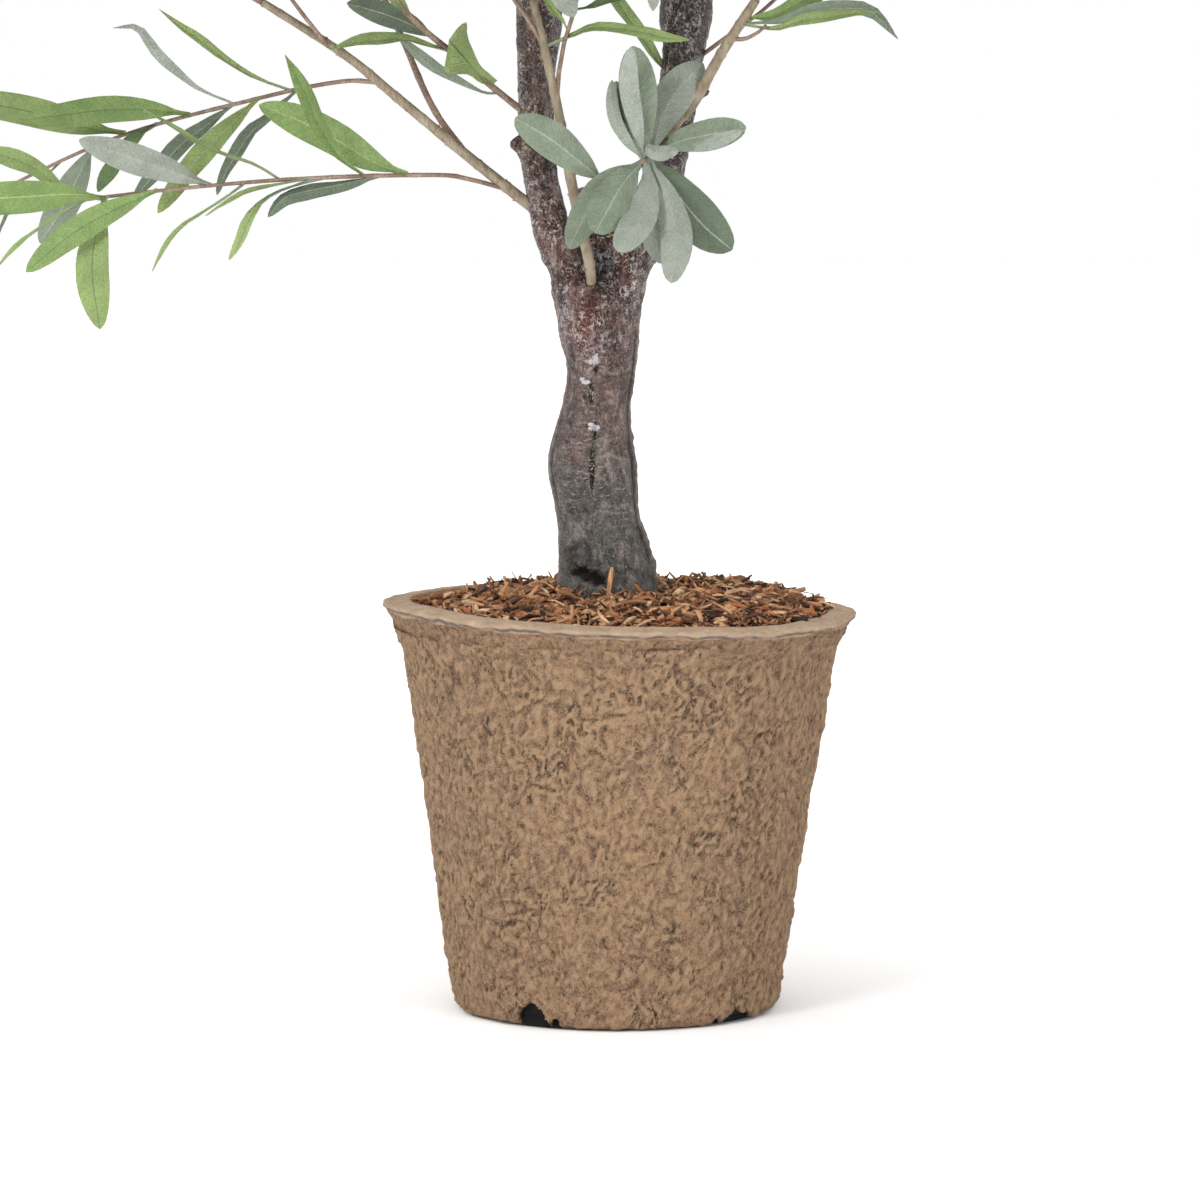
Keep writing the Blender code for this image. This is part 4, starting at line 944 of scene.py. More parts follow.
def bark_relief(points, normals):
    """Height of the bark, and the marks that colour it. Streaks are noise drawn out along the height, wrinkles
    are thin ridges across it, and the crack, hollow and seams are bell curves at their own places."""
    x, y, z = points.T
    front = smooth_step(0.1, 0.6, -normals[:, 1])
    low = smooth_step(0.46, 0.4, z)
    streaks = rough_noise(points, 0.006, 3, (1, 1, 3.2))
    swells = rough_noise(points, 0.02, 2, (1, 1, 1.6), shift=4.0)
    pits = rough_noise(points, 0.0035, 2, shift=8.0)
    wavy = z + 0.004 * rough_noise(points, 0.012, 2, shift=6.0)
    wrinkle_at = rough_noise(points, 0.03, 2, (1, 1, 0.5), shift=15.0)
    across = z + 0.011 * rough_noise(points, 0.018, 3, shift=19.0)
    rings = bell((across / 0.0125) % 1.0 - 0.5, 0.06) * smooth_step(0.08, 0.34, wrinkle_at)
    dashes = np.zeros(len(points))
    ragged = rough_noise(points, 0.0045, 3, shift=33.0)
    for place, height, half in SLITS:
        ends = smooth_step(half, half * 0.6, np.abs(z - height + 0.003 * ragged))
        dashes = np.maximum(dashes, ends * bell(x - place - 0.0024 * ragged, 0.001 + 0.0005 * pits))
    dashes = dashes * front * (y < 0)
    ridges = np.zeros(len(points))
    for height, half in RIDGES:
        reach = smooth_step(half, half * 0.4, np.abs(x + 0.004))
        ridges = np.maximum(ridges, reach * bell(wavy - height, 0.0011))
    ridges *= front
    drooping = z - CAVITY[1] + 0.25 * (x - CAVITY[0])
    cavity = np.hypot((x - CAVITY[0]) / 0.0125, drooping / 0.005) + 0.75 * ragged
    cavity = smooth_step(1.1, 0.6, cavity) * front
    swirl = np.hypot(x - KNOT[0], (z - KNOT[1]) * 0.85) + 0.002 * ragged
    knot = np.maximum(bell(swirl - 0.0062, 0.0014), 0.9 * bell(swirl, 0.0024)) * front
    brow = bell(swirl - 0.009, 0.0018) * front
    sideways = smooth_step(0.4, 0.8, np.abs(normals[:, 0]))
    broken = smooth_step(-0.1, 0.25, rough_noise(points, 0.03, 2, (1, 1, 1.5), shift=43.0))
    seam = low * bell(normals[:, 1] + 0.38 + 0.1 * swells, 0.06) * sideways * broken
    bead = low * bell(normals[:, 1] + 0.16 + 0.08 * swells, 0.12) * sideways
    # painted shade in the crotch of the fork: a torn oval mark with no relief of its own
    cleft = np.hypot((x + 0.0105) / 0.0125, (z - 0.44) / 0.015) + 0.35 * ragged
    cleft = smooth_step(1.15, 0.45, cleft)
    stain = bell(x + 0.0143 + 0.006 * swells, 0.0078) * smooth_step(0.388, 0.4, z) * smooth_step(0.44, 0.425, z)
    cut = smooth_step(CUT_SIZE, CUT_SIZE * 0.9, np.linalg.norm(points - CUT, axis=1))
    foot = smooth_step(0.33, 0.27, z)
    height = ((0.75 + 0.4 * foot) * streaks + 0.8 * swells * low + (0.6 + 0.5 * foot) * pits + 0.6 * rings
              + 0.9 * ridges - 2.6 * dashes - 6.0 * cavity - 1.8 * knot + 1.6 * brow - 0.8 * seam + 0.5 * bead)
    marks = {"hole": cavity, "knot": knot, "ridge": np.maximum(ridges, 0.45 * rings), "seam": seam, "bead": bead,
             "cleft": cleft, "stain": stain * front, "cut": cut}
    return height * MM, marks

# %% Relief pushed out
bark_height, bark_marks = bark_relief(skin_verts, skin_normals)
slim = smooth_step(0.62, 0.56, skin_verts[:, 2])  # the boughs in the crown carry a shallower relief
skin_verts = skin_verts + skin_normals * (bark_height * (0.45 + 0.55 * slim))[:, None]
skin_verts[:, 2] = np.maximum(skin_verts[:, 2], TRUNK_FOOT * MM)
skin.vertices.foreach_set("co", skin_verts.ravel())
skin.shade_smooth()
skin.update()
for mark, values in bark_marks.items():
    skin.attributes.new(mark, "FLOAT", "POINT").data.foreach_set("value", values.astype(np.float32))
print("bark relief from", round(bark_height.min() / MM, 1), "to", round(bark_height.max() / MM, 1), "mm")

# %% [markdown]
# ## Painted bark
# The casting is sprayed in dull browns that redden towards the fork. Painted shade darkens its crack, the hollow
# at its foot, the crotch of the fork and the right limb, and cream is brushed over what stands proud. Painted glints
# and a painted sheen stand for its gloss. A flat pattern wrapped round it would smear where the limbs part, so
# the paint is built from noise of several sizes, and from the marks that were stored along with the relief.

# %% Patterns of the bark
bark_finish = Finish("painted_bark", roughness=0.55)
east, north, height = [bark_finish.node("ShaderNodeSeparateXYZ", {}, {"Vector": bark_finish.coords()}, axis)
                       for axis in "XYZ"]
noise = bark_finish.noise
torn = noise(0.0022, 5.0, 0.72, 0.8)
mottle = noise(0.016, 4.0, 0.6, 0.5)
weathered = noise(0.008, 6.0, 0.68, 0.8, (1, 1, 0.5))
patchy = noise(0.022, 3.0, 0.6, 0.8, (1, 1, 0.5))
streak = noise(0.0042, 3.0, 0.6, 0.6, (1, 1, 0.14))
flecks = noise(0.003, 5.0, 0.7, 1.2, (1, 1, 0.75))
specks = noise(0.0011, 2.0, 0.6, 0.4)
wrinkled = noise(0.0017, 3.0, 0.55, 0.6, (0.32, 0.32, 1.0))
grain = noise(0.0016, 3.0, 0.6, 0.5, (1, 1, 0.4))


def front_spot(place, high, across, tall, tear, solid=0.9):
    """1 inside a torn spot on the front of the trunk: the distance to its middle, measured in its own half width
    and half height and moved by noise, is below one. It is whole up to the share named solid."""
    right, up = (east - place) / across, (height - high) / tall
    distance = (right * right + up * up) ** 0.5 + (torn - 0.5) * tear
    return distance.between(1.15, solid) * north.between(-0.004, -0.008)


def most_of(masks):
    """The greatest of several masks at each place."""
    total = masks[0]
    for mask in masks[1:]:
        total = total.math("MAXIMUM", total, mask)
    return total


# %% Where each paint lies
PAINT_SPOTS = (  # x, height, half width and height, raggedness, strength and paint of each airbrushed spot
    (-0.02, 0.408, 0.0078, 0.021, 2.4, 0.55, (112, 42, 34)),
    (-0.003, 0.403, 0.0065, 0.015, 2.4, 0.6, (44, 31, 32)),
    # painted shade down a crease: this thin dark spot has no relief of its own
    (-0.0085, 0.406, 0.0012, 0.019, 1.2, 0.8, (22, 14, 13)),
    (-0.0205, 0.308, 0.0058, 0.0105, 2.2, 0.5, (46, 47, 41)),
    (-0.025, 0.334, 0.006, 0.008, 2.4, 0.35, (132, 78, 70)),
    (0.001, 0.344, 0.008, 0.01, 2.4, 0.3, (136, 92, 84)))
SPOT_SOLID = 0.45

upper = height.between(0.375, 0.41)
low_fork = height.between(0.66, 0.52)  # the flecks crowd round the fork and thin out up the limbs
red = noise(0.012, 3.0, 0.55, 0.4, (1, 1, 0.5)).between(0.52, 0.66) * upper
moss = mottle.between(0.5, 0.62) * height.between(0.335, 0.29)
shaded = east.between(0.005, 0.025) * height.between(0.46, 0.51)  # painted shade on the right limb
worn = weathered.between(0.47, 0.58) * east.between(-0.022, -0.032) * height.between(0.43, 0.47)
crowded = noise(0.012, 2.0).between(0.42, 0.6) * upper * (low_fork * 0.65 + 0.35)
# painted sheen: where pale lilac flecks stand for the gloss of the upper trunk
painted_sheen = noise(0.014, 3.0, 0.6, 0.6, (1, 1, 0.5)).between(0.5, 0.64)
banded = height.between(0.275, 0.3) * height.between(0.43, 0.385) * patchy.between(0.42, 0.56)
# dashes of painted shade down the crack
dashes = most_of([front_spot(x, z, 0.0014, half * 1.05, 1.1) for x, z, half in SLITS[1:]])
chips_and_glints = most_of([front_spot(x, z, wide * 0.85, tall * 0.85, 3.4) for x, z, wide, tall in CHIPS_AND_GLINTS])
spots = [(front_spot(x, z, wide, tall, tear, SPOT_SOLID) * strength, paint)
         for x, z, wide, tall, tear, strength, paint in PAINT_SPOTS]
print(len(SLITS) - 1, "dashes,", len(CHIPS_AND_GLINTS), "chips,", len(spots), "spots")

hole, knot, ridge, seam, bead, cleft, stain, cut = (bark_finish.mark(name) for name in bark_marks)

# %% Bark finish
CREAM = (222, 211, 190)
# pale colour of chipped paint, also used for painted glints and sparkles
GLINT_AND_CHIP_WHITE = (226, 221, 226)
BARK_CLIMB = ((0.0, (103, 103, 99)), (0.2, (112, 104, 100)), (0.36, (120, 92, 89)), (0.52, (114, 70, 66)),
              (0.7, (108, 78, 72)), (1.0, (94, 76, 70)))  # the base paint from the foot to the limbs

climb = (height + (mottle - 0.5) * 0.06).between(0.25, 0.6)
base_paint = bark_finish.node("ShaderNodeValToRGB", {"stops": BARK_CLIMB}, {"Fac": climb}, "Color")
tone = bark_finish.coats(
    base_paint,
    (red * 0.55 + stain * 0.4, (98, 38, 31)),
    (patchy.between(0.5, 0.34) * (0.2 + upper * 0.55), (46, 31, 28)),
    (weathered.between(0.5, 0.36) * 0.85, (38, 29, 27)),
    (weathered.between(0.53, 0.65) * 0.75, (172, 156, 150)),
    (streak.between(0.5, 0.38) * (0.2 + upper * 0.6), (28, 19, 17)),
    (streak.between(0.58, 0.7) * upper * 0.45, (158, 140, 134)),
    *spots,
    (moss * 0.45, (80, 88, 76)),
    (bead * 0.6, (168, 142, 130)),
    # painted shade in the crotch of the fork
    (cleft * 0.85, (26, 18, 16)),
    # painted shade on the right limb
    (shaded * 0.55, (36, 25, 25)),
    (worn * 0.4, (150, 126, 116)),
    (flecks.between(0.54, 0.58) * (0.16 + crowded * 0.84), CREAM),
    # painted sheen
    (flecks.between(0.48, 0.55) * painted_sheen * upper * 0.75, (192, 182, 188)),
    # painted glints: fine pale specks, thicker where the flecks crowd
    (specks.between(0.6, 0.66) * (0.25 + (painted_sheen * 0.4 + crowded * 0.3) * upper), GLINT_AND_CHIP_WHITE),
    (specks.between(0.44, 0.34) * 0.8, (24, 18, 17)),
    (wrinkled.between(0.57, 0.64) * banded * 0.7, (190, 172, 158)),
    (wrinkled.between(0.44, 0.37) * banded * 0.5, (42, 33, 31)),
    (ridge * flecks.between(0.42, 0.54) * 0.8, (186, 168, 152)),
    (knot * 0.45, (38, 34, 32)),
    (seam * 0.9, (24, 20, 20)),
    # painted shade in the hollow at the foot
    (hole.between(0.4, 0.95), (17, 14, 13)),
    # painted shade in the crack
    (dashes, (14, 10, 9)),
    # painted glints in the crack
    (dashes * specks.between(0.58, 0.62), CREAM),
    # chipped paint and painted glints
    (chips_and_glints * flecks.between(0.36, 0.46), GLINT_AND_CHIP_WHITE),
    (cut * 0.85, (196, 172, 142)))
paint_depth = weathered * 1.3 + flecks * 1.1 + grain * 0.6 + specks * 0.35 + wrinkled * 0.4
bark_gloss = 0.5 - upper * 0.26 + (weathered - 0.5) * 0.5
bark_look = bark_finish.apply(tone, bark_gloss, bark_finish.bump(paint_depth, 0.0032))
skin.materials.clear()
skin.materials.append(bark_look)
bark = bpy.data.objects.new("bark", skin)
bpy.context.scene.collection.objects.link(bark)
settle(bark, "trunk_bark", "trunk", "limb_left", "limb_right", "leader", "bough_front", "bough_back")
print("bark:", sum(len(face.vertices) - 2 for face in skin.polygons), "triangles")

# %% [markdown]
# ## Bare stems
# Wired plastic stems leave the limbs and carry the sprays. They are olive-tan, with a thin ring and a small
# scar wherever a leaf pair was trimmed off. A tube is enough, if its radius swells at every ring.

# %% Stems
RING_SPACING = 0.021
RING_SWELL = 0.16  # a ring stands this share of the radius proud
STEMS = {
    "stem_left": ((-43, 9, 470.5, 3.6), (-54.7, 5, 479.2, 3.4), (-88.2, -4, 506.3, 3.1), (-129.3, -8, 540.6, 2.8),
        (-161.4, -12, 567.1, 2.6), (-209.8, -16, 598.3, 2.2)),
    "stem_centre": ((-15.8, -8, 415, 3), (-17.2, -18, 440, 3.1), (-20.5, -22.5, 458, 3.2), (-28.6, -24, 494.3, 3.1),
        (-38, -25, 544.2, 2.7), (-50.8, -24, 599.6, 2.3)),
    "stem_right": ((29, 0, 511, 3.6), (31.8, -15, 526, 3.6), (43, -20, 539.3, 3.4), (60.8, -28, 570.8, 3.1),
        (79.5, -33, 599.9, 2.7)),
}

# %% Rings and scars
def ringed(path, spacing):
    """Factor on the radius along a path: a narrow bell at each ring, and slow noise between."""
    near = np.abs(walked_along(path) / spacing % 1.0 - 0.5)
    return 1 + RING_SWELL * bell(near, 0.05) + 0.05 * value_noise(path, 0.008)


def joined(parts):
    """Vertices, quads and triangles of several surfaces as one set, each part's indices moved up."""
    offsets = np.cumsum([0] + [len(verts) for verts, _, _ in parts])
    return (np.concatenate([verts for verts, _, _ in parts]),
            np.concatenate([quads + start for (_, quads, _), start in zip(parts, offsets)]),
            np.concatenate([tris + start for (_, _, tris), start in zip(parts, offsets)]))


stem_paths = {name: smooth_path(in_metres(stations), 24) for name, stations in STEMS.items()}
parts, scar_paths = [], []
for name, path in stem_paths.items():
    radii = path[:, 3] * ringed(path[:, :3], RING_SPACING)
    parts.append(tubes(path[None, :, :3], radii[None], 12))
    walked = walked_along(path[:, :3])
    for k, place in enumerate(np.arange(RING_SPACING * 0.5, walked[-1], RING_SPACING * 0.5)):
        here = np.array([np.interp(place, walked, path[:, j]) for j in range(4)])
        step = np.searchsorted(walked, place)
        ahead = unit(path[step, :3] - path[step - 1, :3])
        side = unit(np.cross(ahead, (math.cos(2.4 * k), math.sin(2.4 * k), 0.4)))
        reach = np.array((0.3, 0.9, 1.2))[:, None] * here[3]
        scar_paths.append(here[:3] + side * reach + ahead * (reach - 0.5 * here[3]))
scars = np.array(scar_paths)
parts.append(tubes(scars, np.broadcast_to(np.array((1.0, 0.85, 0.35)) * MM, scars.shape[:2]), 6))

stem_finish = Finish("stem_plastic", roughness=0.62)
stem_tone = stem_finish.noise(0.009, 3.0, 0.6, 0.3, (1, 1, 0.4))
stem_grain = stem_finish.noise(0.0018, 3.0, 0.6, 0.3, (1, 1, 0.3))
stem_colour = stem_finish.coats(
    from_screen(134, 117, 97),
    (stem_tone.between(0.35, 0.65), (162, 150, 128)),
    (stem_grain.between(0.52, 0.36) * 0.5, (96, 78, 60)))
stem_look = stem_finish.apply(stem_colour, normal=stem_finish.bump(stem_grain, 0.0008, 0.6))
settle(build_mesh("bare_stems", *joined(parts), [stem_look]), "stem_plastic",
       "stem_left", "stem_centre", "stem_right")

# %% [markdown]
# ## How a spray grows
# Each spray is one wired stem in a space of its own. Side twigs leave it a golden turn apart, so that they
# fill the space evenly. Leaves sit on the twigs in opposite pairs, each pair a quarter turn from the last,
# with one leaf at the tip. Longer twigs fork once more. Whatever would leave the spray's space, come too low
# or touch a limb or another leaf is skipped.

# %% Sprays: habit, then the points of the stem in millimetres
SPRAYS = {
    "spray_low_left_front": ("twig", ((-65, 2, 487), (-88.2, -7, 493.8), (-111.7, -12, 496.7), (-199.1, -32, 494.8),
        (-300.2, -52, 485.9), (-395.2, -66, 472.1))),
    "spray_low_left_back": ("twig", ((-142, -9.5, 551), (-164.9, 4, 550.9), (-213.2, 22, 540.6),
        (-304.3, 50, 514.5), (-402.4, 72, 468.4))),
    "spray_rosette": ("rosette", ((31, 0, 521), (23.5, -25, 513), (13.5, -54, 507))),
    "spray_left": ("lower", ((-209.8, -16, 598.3), (-300, -8, 650), (-395, 0, 705))),
    "spray_left_back": ("lower", ((-90.5, -4.2, 508.5), (-112, 15, 538), (-139.4, 40, 598), (-190, 100, 690),
        (-250, 160, 760))),
    "spray_left_front": ("lower", ((-49, 12, 527), (-68, 6, 542), (-96, -5, 566), (-130.6, -20, 599),
        (-185, -70, 680), (-245, -125, 750))),
    "spray_centre": ("lower", ((-50.8, -24, 599.6), (-60, -70, 700), (-70, -135, 790))),
    "spray_low_right": ("lower", ((79.5, -33, 599.9), (145, -70, 690), (215, -110, 750))),
    "spray_right": ("full", ((44, 2, 650), (150, 25, 710), (260, 25, 760), (360, 10, 790))),
    "spray_right_back": ("full", ((49, -2, 685), (120, 100, 750), (210, 210, 820))),
    "spray_back": ("full", ((-22, 32, 700), (-35, 150, 740), (-55, 290, 790))),
    "spray_front": ("full", ((27, -64, 730), (45, -170, 770), (60, -300, 800))),
    "spray_front_right": ("full", ((74, -8, 810), (150, -100, 880), (230, -200, 940))),
    "spray_front_left": ("full", ((-70, 16, 770), (-115, -100, 850), (-170, -230, 910))),
    "spray_left_high": ("full", ((-90, 7, 845), (-200, 20, 920), (-320, 20, 990))),
    "spray_back_left": ("full", ((-76, 14, 790), (-135, 125, 880), (-205, 235, 950))),
    "spray_right_high": ("full", ((87, -3, 870), (185, 10, 960), (300, 30, 1030))),
    "spray_back_high": ("full", ((50, 130, 940), (72, 190, 1030), (90, 245, 1110))),
    "spray_front_high": ("full", ((20, -110, 900), (28, -155, 1010), (35, -210, 1110))),
    "spray_mid_front_left": ("full", ((3, 21, 930), (-95, -105, 1030), (-155, -175, 1110))),
    "spray_mid_back_left": ("full", ((3, 19, 950), (-85, 120, 1050), (-135, 195, 1130))),
    "spray_mid_front_right": ("full", ((4, 16.5, 970), (105, -85, 1090), (165, -135, 1170))),
    "spray_mid_back_right": ("full", ((1, 24, 905), (115, 125, 970), (210, 195, 1030))),
    "spray_left_top": ("full", ((-120, -20, 970), (-160, -45, 1090), (-205, -65, 1200))),
    "spray_right_top": ("full", ((115, 20, 980), (150, 45, 1100), (185, 65, 1210))),
    "spray_top_back": ("full", ((2, 8, 1040), (-50, 70, 1160), (-95, 110, 1270))),
    "spray_top_front": ("full", ((1, 4, 1080), (48, -56, 1200), (85, -105, 1310))),
    "spray_top": ("full", ((0, 0, 1120), (6, 5, 1260), (0, 0, 1396))),
}
print(len(SPRAYS), "sprays")

# %% Habits and fine twigs
HABITS = {  # side twigs, where growth begins as a share of the stem, how far leaves hang, and the lowest height
    "full": dict(twigs=10, first=0.26, sag=0.12, floor=0.612),
    "lower": dict(twigs=9, first=0.34, sag=0.12, floor=0.604),
    "twig": dict(twigs=0, first=0.24, sag=0.55, floor=0.395),
    "rosette": dict(twigs=0, first=0.72, sag=0.0, floor=0.4),
}
FINE_TWIGS = {  # thin twigs low on the bare stems: the spray whose space they share, then their points
    "left_spur": ("spray_left", ((-161.4, -12, 567.1), (-169, -12.5, 570.3), (-189.8, -30, 597.5), (-215, -52, 635))),
    "centre_right_spur": ("spray_centre", ((-37, -25, 540), (-34.5, -26, 567), (-28.5, -30, 587), (-20, -38, 620),
        (-6, -56, 670))),
    "centre_left_spur": ("spray_centre", ((-43, -24.5, 566), (-49.6, -26, 582.2), (-61.8, -35, 599.9),
        (-90, -56, 650))),
    "right_spur": ("spray_low_right", ((38, 9, 555), (49.2, 3, 567), (71.3, -10, 583.5), (90.8, -25, 599.7),
        (125, -48, 635))),
    "rosette_spur": ("spray_rosette", ((13.5, -54, 507), (4, -50, 500), (-9.8, -45, 493))),
    "right_tip_spur": ("spray_low_right", ((66, -29.5, 577), (74, -33, 577.5), (82, -37, 582), (85.3, -38.5, 585.5))),
}
TWIG_REACH = 0.125
SPACE_RADIUS = 0.205  # a spray's space ends this far from its stem
SPACE_MARGIN = 0.004
MARK_SPACING = 0.008  # between the places along a stem that stand for its space
LIMB_CLEAR = 0.003  # leaves and twigs keep this far off the bark
GOLDEN_TURN = math.radians(137.5)
LEAF_LENGTHS = (0.07, 0.1)
LEAF_APART = 0.008  # leaves whose middles would come closer than this are skipped

# %% The space of each spray
def point_on(path, share):
    """Place and direction at a share of a path's length, read between its points."""
    walked = walked_along(path)
    target = share * walked[-1]
    place = np.array([np.interp(target, walked, path[:, k]) for k in range(3)])
    step = min(int(np.searchsorted(walked, target, side="right")) - 1, len(path) - 2)
    return place, unit(path[step + 1] - path[step])


def tree_of(points):
    """A search tree for the nearest of many points."""
    tree = KDTree(len(points))
    for k, point in enumerate(points):
        tree.insert(point, k)
    tree.balance()
    return tree


spray_paths = {name: smooth_path(in_metres(points), 10) for name, (_, points) in SPRAYS.items()}
spray_marks = {}
for name, (habit, _) in SPRAYS.items():
    path = spray_paths[name]
    start = 0.6 * HABITS[habit]["first"]
    count = max(2, int(walked_along(path)[-1] / MARK_SPACING))
    spray_marks[name] = [point_on(path, start + (1 - start) * k / count)[0] for k in range(count + 1)]
limb_rows = np.concatenate([smooth_path(in_metres(stations), 10) for stations in LIMBS])
limb_tree = tree_of(limb_rows[:, :3])
print(len(limb_rows), "points along the limbs")


# %% Growth
GREEN_LOOKS, SAGE_LOOKS = 5, 4  # the cloth looks come in this order, and the three ribs follow
RIB_GREEN, RIB_PALE, RIB_SAGE = 9, 10, 11
PALE_RIB_SHARE = 0.35
TWIG_RADIUS = 0.0013
PAIR_SPACING = 0.03  # between the leaf pairs of a side twig
FORKING_LENGTH = 0.062  # a side twig longer than this forks once more
SPUR_RADII = (0.0015, 0.0009)
SPUR_LEAF_HEIGHT = 0.61  # a spur that ends above this carries leaves


def leaning(vector, amount, rng):
    """A direction moved by a random amount on each axis."""
    return unit(np.array(vector) + np.array([rng.uniform(-amount, amount) for _ in range(3)]))


def square_to(head, roll):
    """A direction square to head, turned about it by an angle."""
    guide = (1, 0, 0) if abs(head[2]) > 0.8 else (0, 0, 1)
    side = unit(np.cross(head, guide))
    return side * math.cos(roll) + np.cross(head, side) * math.sin(roll)


class Growth:
    """One spray's twigs and leaves. twigs holds (points, first radius, last radius), leaves one row each."""

    placed = []  # middles of every leaf grown so far, on all sprays

    def __init__(self, name):
        self.habit = HABITS[SPRAYS[name][0]]
        self.path = spray_paths[name]
        self.rng = random.Random("fine growth of " + name)
        self.own = tree_of(spray_marks[name])
        self.others = tree_of([mark for other, marks in spray_marks.items() if other != name for mark in marks])
        self.twigs = []
        self.leaves = []

    def free(self, point):
        """Whether a point lies in the spray's own space, above its floor and clear of every limb."""
        near, far = self.own.find(point)[2], self.others.find(point)[2]
        _, index, gap = limb_tree.find(point)
        clear = gap > limb_rows[index, 3] + LIMB_CLEAR
        return clear and point[2] > self.habit["floor"] and near < SPACE_RADIUS and near + SPACE_MARGIN < far

    def leaf(self, root, head, facing):
        """A leaf whose midrib is an arc: it leaves along head and bows down under its own sag."""
        rng = self.rng
        length = rng.uniform(*LEAF_LENGTHS)
        head = unit(head + np.array((0.0, 0.0, -self.habit["sag"])))
        up = unit(facing - head * np.dot(facing, head))
        bow = rng.uniform(-0.03, 0.11)
        for share in (1.0, 0.85, 0.72):
            reach = length * share
            tip = root + head * reach - up * bow * reach
            middle = root + head * reach * 0.5 + up * bow * reach * 0.55
            if not (self.free(middle) and self.free(tip)):
                continue
            if Growth.placed and np.min(np.sum((np.array(Growth.placed) - middle) ** 2, axis=1)) < LEAF_APART ** 2:
                continue
            Growth.placed.append(middle)
            twist = math.radians(rng.uniform(-22, 22))
            width = reach * rng.uniform(0.2, 0.25)
            fold = math.radians(rng.uniform(4, 22))
            rng.random()  # one number is passed over
            top, under = rng.randrange(GREEN_LOOKS), GREEN_LOOKS + rng.randrange(SAGE_LOOKS)
            rib = RIB_PALE if rng.random() < PALE_RIB_SHARE else RIB_GREEN
            self.leaves.append(dict(root=root, mid=middle, tip=tip, face=up, twist=twist, width=width, fold=fold,
                                    top=top, under=under, rib=rib, taper=rng.uniform(0.6, 0.85), belly=1.25))
            return

    def pair(self, root, head, roll, spread):
        """Two leaves on opposite sides of a twig, each at an angle to it."""
        side = square_to(head, roll)
        for sign in (1, -1):
            out = head * math.cos(spread) + side * (sign * math.sin(spread))
            self.leaf(root, out, leaning((0, 0, 1), 0.5, self.rng) + head * 0.3)

    def pairs_along(self, path, first, last, count, spread):
        """Leaf pairs between two shares of a path, each a quarter turn from the last, and a leaf at its tip."""
        roll = self.rng.uniform(0, math.pi)
        for k in range(count):
            root, head = point_on(path, first + (last - first) * k / max(1, count - 1))
            self.pair(root, head, roll + k * math.pi / 2, math.radians(self.rng.uniform(*spread)))
        root, head = point_on(path, 1.0)
        facing = (0, -1, 0.3) if abs(head[2]) > 0.85 else (0, 0, 1)
        self.leaf(root - head * 0.002, head, leaning(facing, 0.3, self.rng))

    def twig(self, root, head, length, radius, forks):
        """A side twig, bowed a little upwards, with leaf pairs and perhaps a finer twig on each side."""
        rise = np.array((0.0, 0.0, self.rng.uniform(0.0, 0.22)))
        path = smooth_path([root, root + head * length * 0.5, root + unit(head + rise) * length], 3)
        if not all(self.free(point) for point in path[2:]):
            return False
        self.twigs.append((path, radius, radius * 0.62))
        count = max(2, round(length / PAIR_SPACING))
        self.pairs_along(path, 0.34, 0.92, count, (40, 60))
        if forks and length > FORKING_LENGTH:
            for sign in (1, -1):
                start, ahead = point_on(path, self.rng.uniform(0.3, 0.55))
                out = unit(ahead + square_to(ahead, self.rng.uniform(0, math.pi)) * sign * 0.8)
                self.twig(start, out, length * self.rng.uniform(0.42, 0.58), radius * 0.7, False)
        return True

    def grow(self):
        """Side twigs a golden turn apart, each as long as its space allows, then pairs on the stem's end."""
        twigs, first = self.habit["twigs"], self.habit["first"]
        roll = self.rng.uniform(0, 2 * math.pi)
        for k in range(twigs):
            share = first + (0.92 - first) * k / (twigs - 1)
            root, head = point_on(self.path, share)
            side = square_to(head, roll + k * GOLDEN_TURN)
            spread = math.radians(self.rng.uniform(46, 64))
            out = head * math.cos(spread) + side * math.sin(spread)
            length = TWIG_REACH * (1.0 - 0.45 * share) * self.rng.uniform(0.85, 1.1)
            for shorter in (1.0, 0.75, 0.5):
                if self.twig(root, out, length * shorter, TWIG_RADIUS, True):
                    break
        self.pairs_along(self.path, 0.55, 0.97, 5, (40, 58))

# %% All sprays grown
growths = {}
for name, (habit, _) in SPRAYS.items():
    growths[name] = Growth(name)
    if HABITS[habit]["twigs"]:
        growths[name].grow()
for name, (spray, points) in FINE_TWIGS.items():
    path = smooth_path(in_metres(points), 8)
    growths[spray].twigs.append((path, *SPUR_RADII))
    if path[-1, 2] > SPUR_LEAF_HEIGHT:
        growths[spray].pairs_along(path, 0.72, 0.95, 2, (38, 55))
print("leaves grown:", sum(len(growth.leaves) for growth in growths.values()),
      "twigs:", sum(len(growth.twigs) for growth in growths.values()))

# %% [markdown]
# ## Leaves in the foreground
# The sparse low twigs, the rosette in the fork and the first leaves above it are seen singly, so each is
# given by where it shows in the view: a line of points from its base to its tip. Its base is moved onto the
# nearest point of its own twig, and its depth grows evenly from there to the tip.

# %% From the view to the world
VIEW_SIZE = 1200  # the places below are given on a view this many pixels wide and tall
VIEW_SCALE = LENS_MM / SENSOR_MM * VIEW_SIZE
VIEW_DISTANCE = 4.05  # from the camera to the leaves, in metres
DOWN_TILT = math.radians(6.4)  # how far the line of sight dips
EYE = np.array(CAMERA_PLACE)
AHEAD = np.array((0.0, math.cos(DOWN_TILT), -math.sin(DOWN_TILT)))
ABOVE = np.array((0.0, math.sin(DOWN_TILT), math.cos(DOWN_TILT)))
ASIDE = np.array((1, 0, 0))
PIXEL = VIEW_DISTANCE / VIEW_SCALE  # metres that one pixel covers at the leaves
print("one pixel covers", round(PIXEL / MM, 2), "mm")


